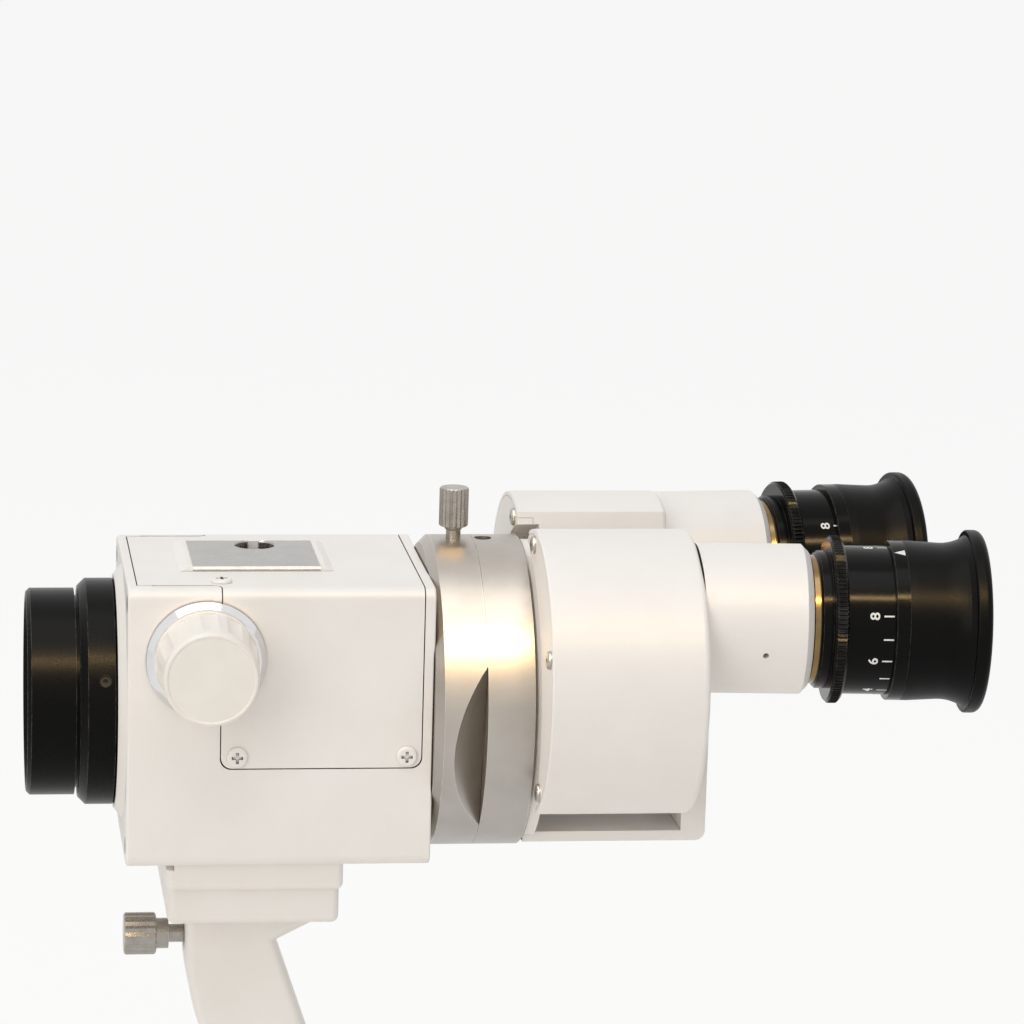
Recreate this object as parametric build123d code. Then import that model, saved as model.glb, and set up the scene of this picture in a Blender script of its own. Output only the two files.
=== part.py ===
from build123d import *
import os
from math import acos, atan2, cos, degrees, pi, radians, sin, sqrt, tan

# Stereo microscope head of a slit lamp, on the upper part of the arm that carries it.
#
# The working frame of this file is the optical frame: X runs along the optical axis from the
# rim of the objective at x = 0 towards the examiner, +Z is up, and the left side of the
# examiner is -Y. Every solid is moved at the end, so that the part's origin is the centre of
# the underside of the arm's foot, where the arm is bolted to what carries it.
#
# Light enters the objective, runs through two parallel channels at y = -PUPIL_OFFSET and
# y = +PUPIL_OFFSET, passes the lens drum of the magnification changer and the tube lenses,
# and is carried by a rhomboid prism in each swinging housing to its eyepiece.
#
# SIDES is -1 for the left side and +1 for the right side.
SIDES = {"left": -1, "right": 1}

# Clearances
SEAM = 0.30
RUN = 0.05
SEAT = 0.04

# Optical layout
PUPIL_OFFSET = 12.0
BEAM_R = 6.0

# Objective barrel and its locking ring; the barrel sets the radii around it and the body's width
BARREL_R = 28.0
BARREL_LENGTH = 13.9
BARREL_NECK_R = BARREL_R - 2.0
BARREL_BORE_R = BARREL_R - 3.4
OBJECTIVE_T = 7.0
OBJECTIVE_X = 5.6
OBJECTIVE_BULGE = 2.0
OBJECTIVE_SEAT = 1.6
RETAINER_T = 1.6
RETAINER_W = 2.3
LOCK_RING_R = BARREL_R + 2.65
LOCK_RING_END = 23.6
LOCK_RING_BEVEL = 2.0
LOCK_GRUB_R = 1.5
LOCK_GRUB_X = 20.4
LOCK_ANGLE = 19.0
LOCK_GRUB_ANGLES = (LOCK_ANGLE, LOCK_ANGLE + 120, LOCK_ANGLE + 240)

# Body: casting, front plate and cover
BOSS_R = LOCK_RING_R + 1.05
BOSS_BASE_R = BOSS_R + 2.9
BODY_HALF_WIDTH = BOSS_BASE_R + 0.4
BODY_TOP = BODY_HALF_WIDTH + 1.2
BODY_BOTTOM = -BODY_HALF_WIDTH - 4.8
BODY_CORNER_R = 3.0
BODY_BOTTOM_CORNER_R = 1.6
PLATE_FRONT = 25.8
PLATE_T = 2.4
BODY_REAR = 107.1
RIM_T = 2.8
CASTING_WALL = 4.0
REAR_WALL = 7.0
FLOOR_T = 5.0
COVER_T = 2.0
COVER_LEDGE = 5.0
COVER_SIDE_FRONT = 50.7
COVER_SIDE_BOTTOM = -12.5
COVER_TOP_HALF = BODY_HALF_WIDTH - 5.1
COVER_CORNER_R = 3.0

# Pocket on the cover and the accessory plate that lies in it
PLATE_X = 61.2
PLATE_Y = 2.7
ACCESSORY_L = 34.2
ACCESSORY_W = 33.0
ACCESSORY_T = 2.2
ACCESSORY_RISE = 1.2
CHEEK_T = 1.4
CHEEK_SLOPE = 2.6
ACCESSORY_HOLE_R = 5.4
ACCESSORY_HOLE_OFFSET = (1.4, 11.3)

# Screws
SCREW_HEAD_R = 2.8
SCREW_HEAD_H = 1.1
SCREW_R = 1.5
SCREW_LENGTH = 4.5
SIDE_SCREW_INSET = 4.3
CROSS_W = 0.8
CROSS_L = 3.0

# Magnification changer
KNOB_X = 46.5
KNOB_Z = 17.3
GEAR_TEETH = 24
GEAR_MODULE = 1.0
GEAR_T = 2.5
GEAR_BACKLASH = 0.16
GEAR_SPACE = 3.2
DRUM_R = 20.0
TRUNNION_R = 4.0
FRAME_T = 4.0
FRAME_GAP = 0.4
BUSH_WALL = 1.5
KNOB_BUSH_WALL = 0.7
SHAFT_R = 3.0
SHAFT_REACH = 17.0
SKIRT_R = 15.8
SKIRT_FRONT_R = 14.3
SKIRT_T = 3.2
KNOB_GAP = 0.35
CAP_R = 13.8
CAP_FRONT_R = 12.5
CAP_LENGTH = 19.0
CAP_FACE_R = 11.5
FLUTES = 12
FLUTE_R = 6.5
FLUTE_DEPTH = 0.55
DETENT_BALL_R = 2.0
DETENT_DEPTH = 1.0
DETENT_STEPS = 6
SPRING_T = 0.5

# Adapter ring on the body and head ring of the binocular head
RING_R = 42.35
RING_CONE = 2.15
ADAPTER_FRONT = BODY_REAR
ADAPTER_END = 120.75
RING_FLAT_ANGLE = 11.6
RING_FLAT_REACH = 2.8
RING_FLAT_TILT = 40.0
SPIGOT_R = RING_R - 7.75
APERTURE_R = SPIGOT_R - 13.6
ADAPTER_SCREW_PCR = SPIGOT_R - 7.6
SPIGOT_GROOVE = 2.0
RING_BASE_T = 4.4
HEAD_RING_END = 134.0
RING_HOLE_R = 2.4
RING_HOLE_X = 123.6

# Clamp screw on top of the adapter ring
CLAMP_X = 115.5
CLAMP_R = 2.0
CLAMP_HEAD_R = 4.0
CLAMP_HEAD_H = 10.6
CLAMP_NECK_H = 3.4
CLAMP_RIBS = 20
RIB_DEPTH = 0.3

# Bracket of the binocular head
BRACKET_DISC_R = RING_R - 1.35
BRACKET_DISC_T = 3.0
BRACKET_HALF_WIDTH = 20.0
BRACKET_FLOOR_GAP = 7.95
BRACKET_FLOOR_T = 2.8
BRACKET_WALL_FRONT = 177.5
BRACKET_WALL_T = 6.7
BRACKET_CORNER_R = 2.7
BRACKET_WALL_TOP = 8.5
JOURNAL_R = 9.0
JOURNAL_BORE_R = 7.5
REAR_PIN_R = 4.0

# Swinging prism housings
HOUSING_R = RING_R - 4.15
HOUSING_Y = 25.2
HOUSING_Z = 11.15
HOUSING_FRONT = 134.5
HOUSING_REAR = 176.2
HOUSING_WALL = 2.4
HOUSING_EDGE_R = 1.5
HOUSING_FRONT_R = 0.5
HOUSING_INNER = 11.5
SWING_IN = 14.0
SWING_OUT = 2.0
SWING_GEAR_SPAN = 110.0
COVER_DEPTH = 8.6
COVER_LIP = 4.5
COVER_STEP = 6.1
COVER_FLOOR_T = 2.5
COVER_RECESS_R = BRACKET_DISC_R + 4.0
COVER_RIM = 1.3
COVER_SCREW_PCR = HOUSING_R - 3.8
COVER_SCREW_HEAD_R = 2.45
COVER_SCREW_FIRST = {"left": 87.0, "right": 76.0}
COVER_SCREW_STEP = 74.0
PRISM_SIDE = 12.4

# Eyepieces: lengths run along the eyepiece's own axis, from its reference plane
EYE_X = 200.0
EYE_Y = 34.85
EYE_Z = 27.8
CONVERGENCE = 4.36
TUBE_R = 20.0
TUBE_START = -26.0
TUBE_END = 6.2
TUBE_BEVEL = 1.8
TUBE_BORE_R = 15.0
TUBE_GRUB_T = -6.4
TUBE_GRUB_ANGLE = -16.3
TUBE_GRUB_R = 0.8
PLUG_START = -14.0
SHOULDER_R = 17.2
SHOULDER_END = 8.1
STEP_R = 18.4
STEP_END = 11.45
SLEEVE_R = 17.0
SLEEVE_END = 26.0
BARREL_EYE_BORE = 14.0
FLANGE_R = 22.3
FLANGE_T = 3.5
FLANGE_RIBS = 118
FLANGE_RIB_DEPTH = 0.35
SCALE_R = 19.8
SCALE_END = 28.0
DIOPTRE_LEAD = 8.0
DEGREES_PER_DIOPTRE = 18.0
DIOPTRE_MAX = 9.0
DIOPTRE_AT_REST = {"left": 9.0, "right": 3.0}
INDEX_START = 23.9
INDEX_T = 3.7
INDEX_R = 21.3
EYE_END_LENGTH = 20.6
EYE_WEB = 9.0
EYE_TAIL = 9.0
CUP_WAIST_R = 20.7
CUP_WAIST_T = 12.4
CUP_FLARE = 1.3
CUP_RIM_R = 24.4
CUP_RIM_T = 4.2
CUP_BACK = 21.3
EYE_LENS_R = 12.4

# Foot of the body, which stands on the arm's head block
FOOT_FRONT = 36.9
FOOT_REAR = 84.4
FOOT_HALF_WIDTH = BODY_HALF_WIDTH - 4.5
FOOT_H = 8.0
FOOT_ROUND = 1.8
FOOT_NOTCH = 2.1
SPIGOT_PIN_R = 8.0
SPIGOT_PIN_X = 56.0
SPIGOT_PIN_LENGTH = 28.0
LOCK_SCREW_DROP = 10.7
LOCK_GROOVE = 1.4
FOOT_SCREW_R = 2.5
FOOT_SCREW_Y = FOOT_HALF_WIDTH - 8.5

# Arm
BLOCK_FRONT = 37.5
BLOCK_REAR = 83.7
BLOCK_HALF_WIDTH = FOOT_HALF_WIDTH - 3.5
BLOCK_H = 10.4
BLOCK_ROUND = 2.0
ARM_HALF_WIDTH = 12.0
ARM_FRONT = 43.6
ARM_BACK = 68.0
ARM_EDGE_R = 2.4
ARM_LEAN = 19.6
GUSSET_REACH = 14.5
GUSSET_DROP = 7.5
ARM_BEND_DROP = 11.8
ARM_BEND_HEIGHT = 22.0
ARM_FOOT_BEND = -140.0
ARM_FOOT_TOP = -159.0
ARM_FOOT_BOTTOM = -168.0
ARM_ROOT = 6.0
ARM_FOOT_X = 82.0
ARM_FOOT_L = 54.0
ARM_FOOT_W = 44.0
ARM_FOOT_R = 6.0
ARM_BOLT_SPACING = (42.0, 32.0)
ARM_BOLT_R = 2.75

# Lock screw in the front of the arm
LOCK_R = 2.5
LOCK_HEAD_R = 5.8
LOCK_HEAD_T = 8.8
LOCK_COLLAR_R = 4.2
LOCK_COLLAR_T = 3.4
LOCK_RIBS = 18

# Places worked out from the values above
DRUM_HALF = BODY_HALF_WIDTH - CASTING_WALL - GEAR_SPACE - GEAR_T - 2 * FRAME_GAP - FRAME_T
SEAM_X = PLATE_FRONT + PLATE_T
RIM_X = BODY_REAR - RIM_T
GEAR_CENTRES = GEAR_TEETH * GEAR_MODULE
DRUM_X = KNOB_X + sqrt(GEAR_CENTRES**2 - KNOB_Z**2)
SWING_GEAR_MODULE = 2 * PUPIL_OFFSET / GEAR_TEETH
FRAME_INNER = DRUM_HALF + FRAME_GAP
GEAR_Y = FRAME_INNER + FRAME_T + FRAME_GAP
DISC_FRONT = HEAD_RING_END
DISC_END = DISC_FRONT + BRACKET_DISC_T
COVER_FLOOR_X = HOUSING_FRONT + COVER_STEP
FOOT_BOTTOM = BODY_BOTTOM - FOOT_H
BLOCK_BOTTOM = FOOT_BOTTOM - BLOCK_H
BRACKET_FLOOR_TOP = HOUSING_Z - HOUSING_R - BRACKET_FLOOR_GAP
LOCK_SCREW_Z = BLOCK_BOTTOM - LOCK_SCREW_DROP
ARM_BEND_TOP = BLOCK_BOTTOM - ARM_BEND_DROP
ARM_BEND_END = ARM_BEND_TOP - ARM_BEND_HEIGHT
LEAN_SHIFT = tan(radians(ARM_LEAN))
BEND_SHIFT = tan(radians(ARM_LEAN / 2))
ARM_FRONT_LOW = ARM_FRONT + ARM_BEND_HEIGHT * BEND_SHIFT + (ARM_BEND_END - ARM_FOOT_BEND) * LEAN_SHIFT
ARM_BACK_LOW = ARM_BACK + (ARM_BEND_TOP - ARM_FOOT_BEND) * LEAN_SHIFT
FOOT_SHIFT = (ARM_FOOT_BEND - ARM_FOOT_TOP) * BEND_SHIFT
TO_FOOT = Pos(-ARM_FOOT_X, 0, -ARM_FOOT_BOTTOM)


# Shared shapes

def block(x0, x1, y0, y1, z0, z1):
    """Box between two corners."""
    return Pos((x0 + x1) / 2, (y0 + y1) / 2, (z0 + z1) / 2) * Box(x1 - x0, y1 - y0, z1 - z0)


def rod_x(x0, x1, radius, y=0.0, z=0.0):
    """Cylinder along X."""
    return Pos((x0 + x1) / 2, y, z) * Rot(0, 90, 0) * Cylinder(radius, x1 - x0)


def rod_y(y0, y1, radius, x=0.0, z=0.0):
    """Cylinder along Y."""
    return Pos(x, (y0 + y1) / 2, z) * Rot(90, 0, 0) * Cylinder(radius, y1 - y0)


def rod_z(z0, z1, radius, x=0.0, y=0.0):
    """Cylinder along Z."""
    return Pos(x, y, (z0 + z1) / 2) * Cylinder(radius, z1 - z0)


def turned(corners, rounds=()):
    """Solid turned about X. corners are (x, radius) pairs, rounds are (corner, fillet radius)."""
    face = make_face(Polyline(*[(x, 0, r) for x, r in corners], close=True))
    for (x, r), radius in rounds:
        corner = face.vertices().sort_by_distance((x, 0, r))[0]
        face = fillet(corner, radius)
    return revolve(face, Axis.X)


def ring_x(x0, x1, outer, inner, y=0.0, z=0.0):
    """Plain ring along X."""
    return rod_x(x0, x1, outer, y, z) - rod_x(x0 - 1, x1 + 1, inner, y, z)


def lens_x(x0, x1, radius, front_bulge, rear_bulge):
    """Lens along X between two crowns, with a spherical face wherever a bulge is given."""
    glass = rod_x(x0, x1, radius)
    if front_bulge:
        sphere_r = (radius**2 + front_bulge**2) / (2 * front_bulge)
        glass &= Pos(x0 + sphere_r, 0, 0) * Sphere(sphere_r)
    if rear_bulge:
        sphere_r = (radius**2 + rear_bulge**2) / (2 * rear_bulge)
        glass &= Pos(x1 - sphere_r, 0, 0) * Sphere(sphere_r)
    return glass


def body_section(x0, x1, inset=0.0):
    """Length of the body's rounded rectangular section, inset evenly where asked."""
    width = 2 * (BODY_HALF_WIDTH - inset)
    height = BODY_TOP - BODY_BOTTOM - 2 * inset
    centre = (BODY_TOP + BODY_BOTTOM) / 2
    radius = max(BODY_CORNER_R - inset, 0.8)
    outline = Pos(0, centre) * RectangleRounded(width, height, radius)
    return extrude(Plane.YZ.offset(x0) * outline, x1 - x0)


def cross_screw(length=SCREW_LENGTH, head_r=SCREW_HEAD_R):
    """Raised head screw with a cross recess; its head rises along +Z from the seat at z = 0."""
    head = Cylinder(head_r, SCREW_HEAD_H, align=(Align.CENTER, Align.CENTER, Align.MIN))
    head = fillet(head.edges().sort_by(Axis.Z)[-1], SCREW_HEAD_H * 0.7)
    recess = Box(CROSS_L, CROSS_W, SCREW_HEAD_H) + Box(CROSS_W, CROSS_L, SCREW_HEAD_H)
    return head - Pos(0, 0, SCREW_HEAD_H) * recess + rod_z(-length, 0, SCREW_R)


def ribbed(radius, length, ribs, depth):
    """Grip along +Z from z = 0, with V grooves cut along its side."""
    points = []
    for i in range(2 * ribs):
        angle = pi * i / ribs
        r = radius - depth * (i % 2)
        points.append((r * cos(angle), r * sin(angle)))
    grip = extrude(make_face(Polyline(*points, close=True)), length)
    envelope = Cylinder(radius, length, align=(Align.CENTER, Align.CENTER, Align.MIN))
    envelope = chamfer(envelope.edges().filter_by(GeomType.CIRCLE), min(0.08 * radius, 0.7))
    return grip & envelope


def gear_outline(module, half_phase, span=360.0):
    """Involute outline in the XY plane, with a tooth centred on +X, or a space if half_phase.

    Teeth outside the span are left off, as on a sector gear, down to the root circle.
    """
    pitch_r = GEAR_TEETH * module / 2
    base_r = pitch_r * cos(radians(20))
    tip_r = pitch_r + 0.96 * module
    root_r = pitch_r - 1.22 * module
    involute = tan(radians(20)) - radians(20)
    half_at_pitch = pi / (2 * GEAR_TEETH) - GEAR_BACKLASH / (4 * pitch_r)
    flank = []
    for r in (base_r, pitch_r, tip_r):
        pressure = acos(base_r / r)
        flank.append((r, half_at_pitch + involute - (tan(pressure) - pressure)))
    flank.insert(0, (root_r, flank[0][1]))
    outline = []
    for tooth in range(GEAR_TEETH):
        centre = 2 * pi * (tooth + (0.5 if half_phase else 0.0)) / GEAR_TEETH
        turn = abs((degrees(centre) + 180) % 360 - 180)
        if turn > span / 2:
            outline.append((root_r * cos(centre), root_r * sin(centre)))
            continue
        for r, half in flank:
            outline.append((r * cos(centre - half), r * sin(centre - half)))
        for r, half in reversed(flank):
            outline.append((r * cos(centre + half), r * sin(centre + half)))
    return make_face(Polyline(*outline, close=True))


# Objective

def objective_barrel():
    """Black barrel that holds the front lens, with a neck that enters the front plate."""
    lip = 1.0
    seat_r = BARREL_BORE_R - OBJECTIVE_SEAT
    seat_x = OBJECTIVE_X + OBJECTIVE_T - OBJECTIVE_BULGE * (seat_r / BARREL_BORE_R) ** 2 + SEAT
    corners = [
        (0.0, BARREL_R - lip), (lip, BARREL_R), (BARREL_LENGTH - lip, BARREL_R),
        (BARREL_LENGTH - lip, BARREL_NECK_R), (SEAM_X - SEAT, BARREL_NECK_R),
        (SEAM_X - SEAT, seat_r), (seat_x, seat_r), (seat_x, BARREL_BORE_R),
        (2.0, BARREL_BORE_R), (0.0, BARREL_BORE_R + 1.6),
    ]
    return turned(corners)


def objective_lens():
    """Biconvex front lens shared by both channels."""
    end = OBJECTIVE_X + OBJECTIVE_T
    return lens_x(OBJECTIVE_X, end, BARREL_BORE_R - SEAT, OBJECTIVE_BULGE, OBJECTIVE_BULGE)


def objective_retainer():
    """Threaded ring that holds the front lens in the barrel, with two slots for its key."""
    inner = BARREL_BORE_R - RETAINER_W
    edge_x = OBJECTIVE_X + OBJECTIVE_BULGE
    face_x = OBJECTIVE_X + OBJECTIVE_BULGE * (inner / BARREL_BORE_R) ** 2 - SEAT
    ring = turned([
        (face_x - RETAINER_T, BARREL_BORE_R - SEAT), (edge_x - SEAT, BARREL_BORE_R - SEAT),
        (face_x, inner), (face_x - RETAINER_T, inner),
    ])
    reach = BARREL_BORE_R
    return ring - block(face_x - RETAINER_T - 1, face_x - RETAINER_T + 0.8, -reach, reach, -0.6, 0.6)


def lock_grub_place(angle):
    """Place on the locking ring at an angle above the left, with +Z pointing outwards."""
    return Pos(LOCK_GRUB_X, 0, 0) * Rot(90 - angle, 0, 0)


def objective_lock_ring():
    """Ring with a bevelled front that locks the barrel to the front plate."""
    start = BARREL_LENGTH
    corners = [
        (start, BARREL_NECK_R + SEAT), (start, LOCK_RING_R - LOCK_RING_BEVEL),
        (start + LOCK_RING_BEVEL, LOCK_RING_R), (LOCK_RING_END - 0.5, LOCK_RING_R),
        (LOCK_RING_END, LOCK_RING_R - 0.5), (LOCK_RING_END, BARREL_NECK_R + SEAT),
    ]
    ring = turned(corners)
    for angle in LOCK_GRUB_ANGLES:
        ring -= lock_grub_place(angle) * rod_z(BARREL_NECK_R - 1, LOCK_RING_R + 1, LOCK_GRUB_R)
    return ring


def lock_ring_grubs():
    """Grub screws of the locking ring, with hexagon sockets, a little below its surface."""
    grubs = []
    for angle in LOCK_GRUB_ANGLES:
        top = LOCK_RING_R - 0.7
        grub = rod_z(BARREL_NECK_R, top, LOCK_GRUB_R - SEAT)
        grub -= Pos(0, 0, top - 1.2) * extrude(RegularPolygon(0.75, 6), 1.3)
        grubs.append(lock_grub_place(angle) * grub)
    return grubs


# Body

def plate_screw_places():
    """Corners of the front plate where its countersunk screws sit."""
    inset = 5.0
    top = BODY_TOP - inset
    bottom = BODY_BOTTOM + inset
    side = BODY_HALF_WIDTH - inset
    return [(y, z) for y in (-side, side) for z in (bottom, top)]


def countersunk_screw(length):
    """Countersunk screw along -Z with its flat head at z = 0."""
    head = Pos(0, 0, -0.7) * Cone(SCREW_R, SCREW_HEAD_R - 0.4, 1.4)
    screw = head + rod_z(-length, -1.3, SCREW_R)
    recess = Box(CROSS_L * 0.8, CROSS_W, 1.4) + Box(CROSS_W, CROSS_L * 0.8, 1.4)
    return screw - recess


def front_plate():
    """Front plate of the body, with the conical boss behind the locking ring."""
    plate = body_section(PLATE_FRONT, SEAM_X)
    plate = fillet(plate.faces().sort_by(Axis.X)[0].outer_wire().edges(), 0.8)
    plate += turned([
        (LOCK_RING_END + 0.1, 0.0), (LOCK_RING_END + 0.1, BOSS_R), (PLATE_FRONT, BOSS_BASE_R),
        (PLATE_FRONT + 1, BOSS_BASE_R), (PLATE_FRONT + 1, 0.0),
    ])
    plate -= rod_x(LOCK_RING_END - 1, SEAM_X + 1, BARREL_NECK_R + SEAT)
    for y, z in plate_screw_places():
        plate -= Pos(PLATE_FRONT, y, z) * Rot(0, -90, 0) * countersunk_hole()
    return plate


def countersunk_hole():
    """Cutter for a countersunk screw along -Z."""
    return Pos(0, 0, -0.7) * Cone(SCREW_R, SCREW_HEAD_R - 0.4, 1.4) + rod_z(-12, -1.3, SCREW_R)


def front_plate_screws():
    """Four countersunk screws of the front plate."""
    screws = []
    for y, z in plate_screw_places():
        screws.append(Pos(PLATE_FRONT, y, z) * Rot(0, -90, 0) * countersunk_screw(PLATE_T + 3.4))
    return screws


def cover_zone(gap):
    """Space of the cover's sheet, made larger by the seam's gap where the casting is cut."""
    front = SEAM_X + SEAM - gap
    rear = RIM_X - SEAM + gap
    side_front = COVER_SIDE_FRONT - gap
    half = COVER_TOP_HALF + gap
    reach = BODY_HALF_WIDTH + 5
    plan = Pos((front + rear) / 2, 0) * Rectangle(rear - front, 2 * half)
    plan += Pos((side_front + rear) / 2, 0) * Rectangle(rear - side_front, 2 * reach)
    inner = [v for v in plan.vertices() if abs(v.X - side_front) < 0.01 and abs(abs(v.Y) - half) < 0.01]
    plan = fillet(inner, COVER_CORNER_R)
    bottom = COVER_SIDE_BOTTOM - gap
    top = BODY_TOP + 5
    side = Pos((front + rear) / 2, (top + bottom) / 2) * Rectangle(rear - front, top - bottom)
    low_block = Pos((side_front + rear) / 2, (top + bottom) / 2) * Rectangle(rear - side_front, top - bottom)
    corners = low_block.vertices().sort_by(Axis.Y)[:2]
    low_block = fillet(corners, COVER_CORNER_R)
    strip = Pos((front + side_front) / 2 + 2, top - 6) * Rectangle(side_front - front + 4, 12)
    side = low_block + strip
    zone = extrude(plan, 2 * top, both=True) & extrude(Plane.XZ * side, reach, both=True)
    return zone - body_section(front - 1, rear + 1, COVER_T)


def body_casting():
    """Frame of the body: floor, end walls, knob walls, and ledges under the cover's edge."""
    body = body_section(SEAM_X, BODY_REAR)
    body = fillet(body.faces().sort_by(Axis.X)[-1].outer_wire().edges(), 0.6)
    inner = BODY_HALF_WIDTH - CASTING_WALL
    reach = BODY_HALF_WIDTH + 5
    body -= block(SEAM_X + CASTING_WALL, BODY_REAR - REAR_WALL, -inner, inner, BODY_BOTTOM + FLOOR_T, BODY_TOP + 1)
    body -= cover_zone(SEAM)
    window_front = COVER_SIDE_FRONT + COVER_LEDGE + 3
    window_rear = RIM_X - COVER_LEDGE - 3
    window_bottom = COVER_SIDE_BOTTOM + COVER_LEDGE + 2
    body -= block(window_front, window_rear, -reach, reach, window_bottom, BODY_TOP + 1)
    body -= rod_x(SEAM_X - 1, SEAM_X + CASTING_WALL + 1, BARREL_NECK_R - 3)
    body -= rod_x(BODY_REAR - REAR_WALL - 1, BODY_REAR + 1, APERTURE_R)
    body -= rod_y(-reach, reach, SHAFT_R + KNOB_BUSH_WALL, KNOB_X, KNOB_Z)
    for x, y, z in adapter_screw_places():
        body -= rod_x(BODY_REAR - 6.5, BODY_REAR + 1, SCREW_R + 0.5 + SEAT, y, z)
    for y, z in plate_screw_places():
        body -= rod_x(SEAM_X - 1, SEAM_X + 3.6, SCREW_R, y, z)
    for x, y in foot_screw_places():
        body -= rod_z(BODY_BOTTOM - 1, BODY_BOTTOM + FLOOR_T - 0.6, FOOT_SCREW_R, x, y)
    for place in cover_screw_places():
        body -= place * rod_z(-SCREW_LENGTH - 0.2, 1, SCREW_R)
    return body


def cover_screw_places():
    """Seats of the cover's screws: two low on each side and one at the left front corner."""
    places = []
    z = COVER_SIDE_BOTTOM + 3.1
    for side in (-1, 1):
        for x in (COVER_SIDE_FRONT + SIDE_SCREW_INSET, RIM_X - SEAM - SIDE_SCREW_INSET + 0.4):
            places.append(Pos(x, side * BODY_HALF_WIDTH, z) * Rot(-90 * side, 0, 0))
    places.append(Pos(COVER_SIDE_FRONT + 0.2, -COVER_TOP_HALF + 3.6, BODY_TOP))
    return places


def cheek_frame():
    """Raised frame on the cover around the accessory plate, with sloping outer sides."""
    foot_l = ACCESSORY_L + 2 * CHEEK_T + 2 * CHEEK_SLOPE
    foot_w = ACCESSORY_W + 2 * CHEEK_SLOPE
    top_l = ACCESSORY_L + 2 * CHEEK_T
    base = Pos(PLATE_X, PLATE_Y, BODY_TOP - 0.2) * Rectangle(foot_l, foot_w)
    crown = Pos(PLATE_X, PLATE_Y, BODY_TOP + ACCESSORY_RISE) * Rectangle(top_l, ACCESSORY_W)
    frame = loft([base.face(), crown.face()])
    front = PLATE_Y - ACCESSORY_W / 2
    return frame - block(PLATE_X - 40, PLATE_X + 40, front - 20, front, BODY_TOP, BODY_TOP + 5)


def accessory_hole():
    """Axis of the hole in the accessory plate."""
    return PLATE_X + ACCESSORY_HOLE_OFFSET[0], PLATE_Y + ACCESSORY_HOLE_OFFSET[1]


def top_cover():
    """Painted cover: top and both sides in one sheet, with the pocket for the accessory plate."""
    cover = cover_zone(0.0) & body_section(SEAM_X, RIM_X)
    cover += cheek_frame()
    half_l = ACCESSORY_L / 2 + SEAT
    half_w = ACCESSORY_W / 2 + SEAT
    floor = BODY_TOP + ACCESSORY_RISE - ACCESSORY_T
    cover -= block(PLATE_X - half_l, PLATE_X + half_l, PLATE_Y - half_w, PLATE_Y + half_w, floor, BODY_TOP + 5)
    x, y = accessory_hole()
    cover -= rod_z(floor - COVER_T, BODY_TOP + 5, ACCESSORY_HOLE_R + SEAM, x, y)
    for place in cover_screw_places():
        cover -= place * rod_z(-COVER_T - 1, 1, SCREW_R)
    return cover


def cover_screws():
    """Screws of the cover, all with raised heads and a cross recess."""
    return [place * cross_screw() for place in cover_screw_places()]


def accessory_plate():
    """Bare metal plate with a bevelled front edge and one hole that takes an accessory's pin."""
    top = BODY_TOP + ACCESSORY_RISE
    front = PLATE_Y - ACCESSORY_W / 2
    rear = PLATE_Y + ACCESSORY_W / 2
    left = PLATE_X - ACCESSORY_L / 2
    plate = block(left, left + ACCESSORY_L, front, rear, top - ACCESSORY_T, top)
    edge = plate.edges().filter_by(Axis.X).sort_by(Axis.Z)[-2:].sort_by(Axis.Y)[0]
    plate = chamfer(edge, 0.6)
    x, y = accessory_hole()
    plate -= rod_z(top - ACCESSORY_T - 1, top + 1, ACCESSORY_HOLE_R, x, y)
    rim = plate.edges().filter_by(GeomType.CIRCLE).sort_by(Axis.Z)[-1]
    return chamfer(rim, 0.4)


# Magnification changer

def changer_frame():
    """Two uprights on the casting's floor that carry the trunnions of the lens drum."""
    floor = BODY_BOTTOM + FLOOR_T
    half = TRUNNION_R + BUSH_WALL + 3.5
    reach = FRAME_INNER + FRAME_T
    frame = block(DRUM_X - 16, DRUM_X + 16, -reach, reach, floor, floor + 3)
    for side in (-1, 1):
        y = side * (FRAME_INNER + FRAME_T / 2)
        foot = Pos(0, floor + 0.01) * Rectangle(32, 0.02)
        outline = make_hull((foot + Circle(half)).edges())
        frame += Pos(DRUM_X, y, 0) * extrude(Plane.XZ * outline, FRAME_T / 2, both=True)
        frame -= rod_y(y - FRAME_T, y + FRAME_T, TRUNNION_R + BUSH_WALL, DRUM_X)
    return frame


def changer_bushes():
    """Bronze bushes of the drum's trunnions and of the knob shaft."""
    bushes = []
    for side in (-1, 1):
        y0, y1 = sorted((side * FRAME_INNER, side * (FRAME_INNER + FRAME_T)))
        bush = rod_y(y0, y1, TRUNNION_R + BUSH_WALL - SEAT, DRUM_X)
        bushes.append(bush - rod_y(y0 - 1, y1 + 1, TRUNNION_R + RUN, DRUM_X))
        y0, y1 = sorted((side * (BODY_HALF_WIDTH - CASTING_WALL), side * BODY_HALF_WIDTH))
        bush = rod_y(y0, y1, SHAFT_R + KNOB_BUSH_WALL - SEAT, KNOB_X, KNOB_Z)
        bushes.append(bush - rod_y(y0 - 1, y1 + 1, SHAFT_R + RUN, KNOB_X, KNOB_Z))
    return bushes


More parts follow.
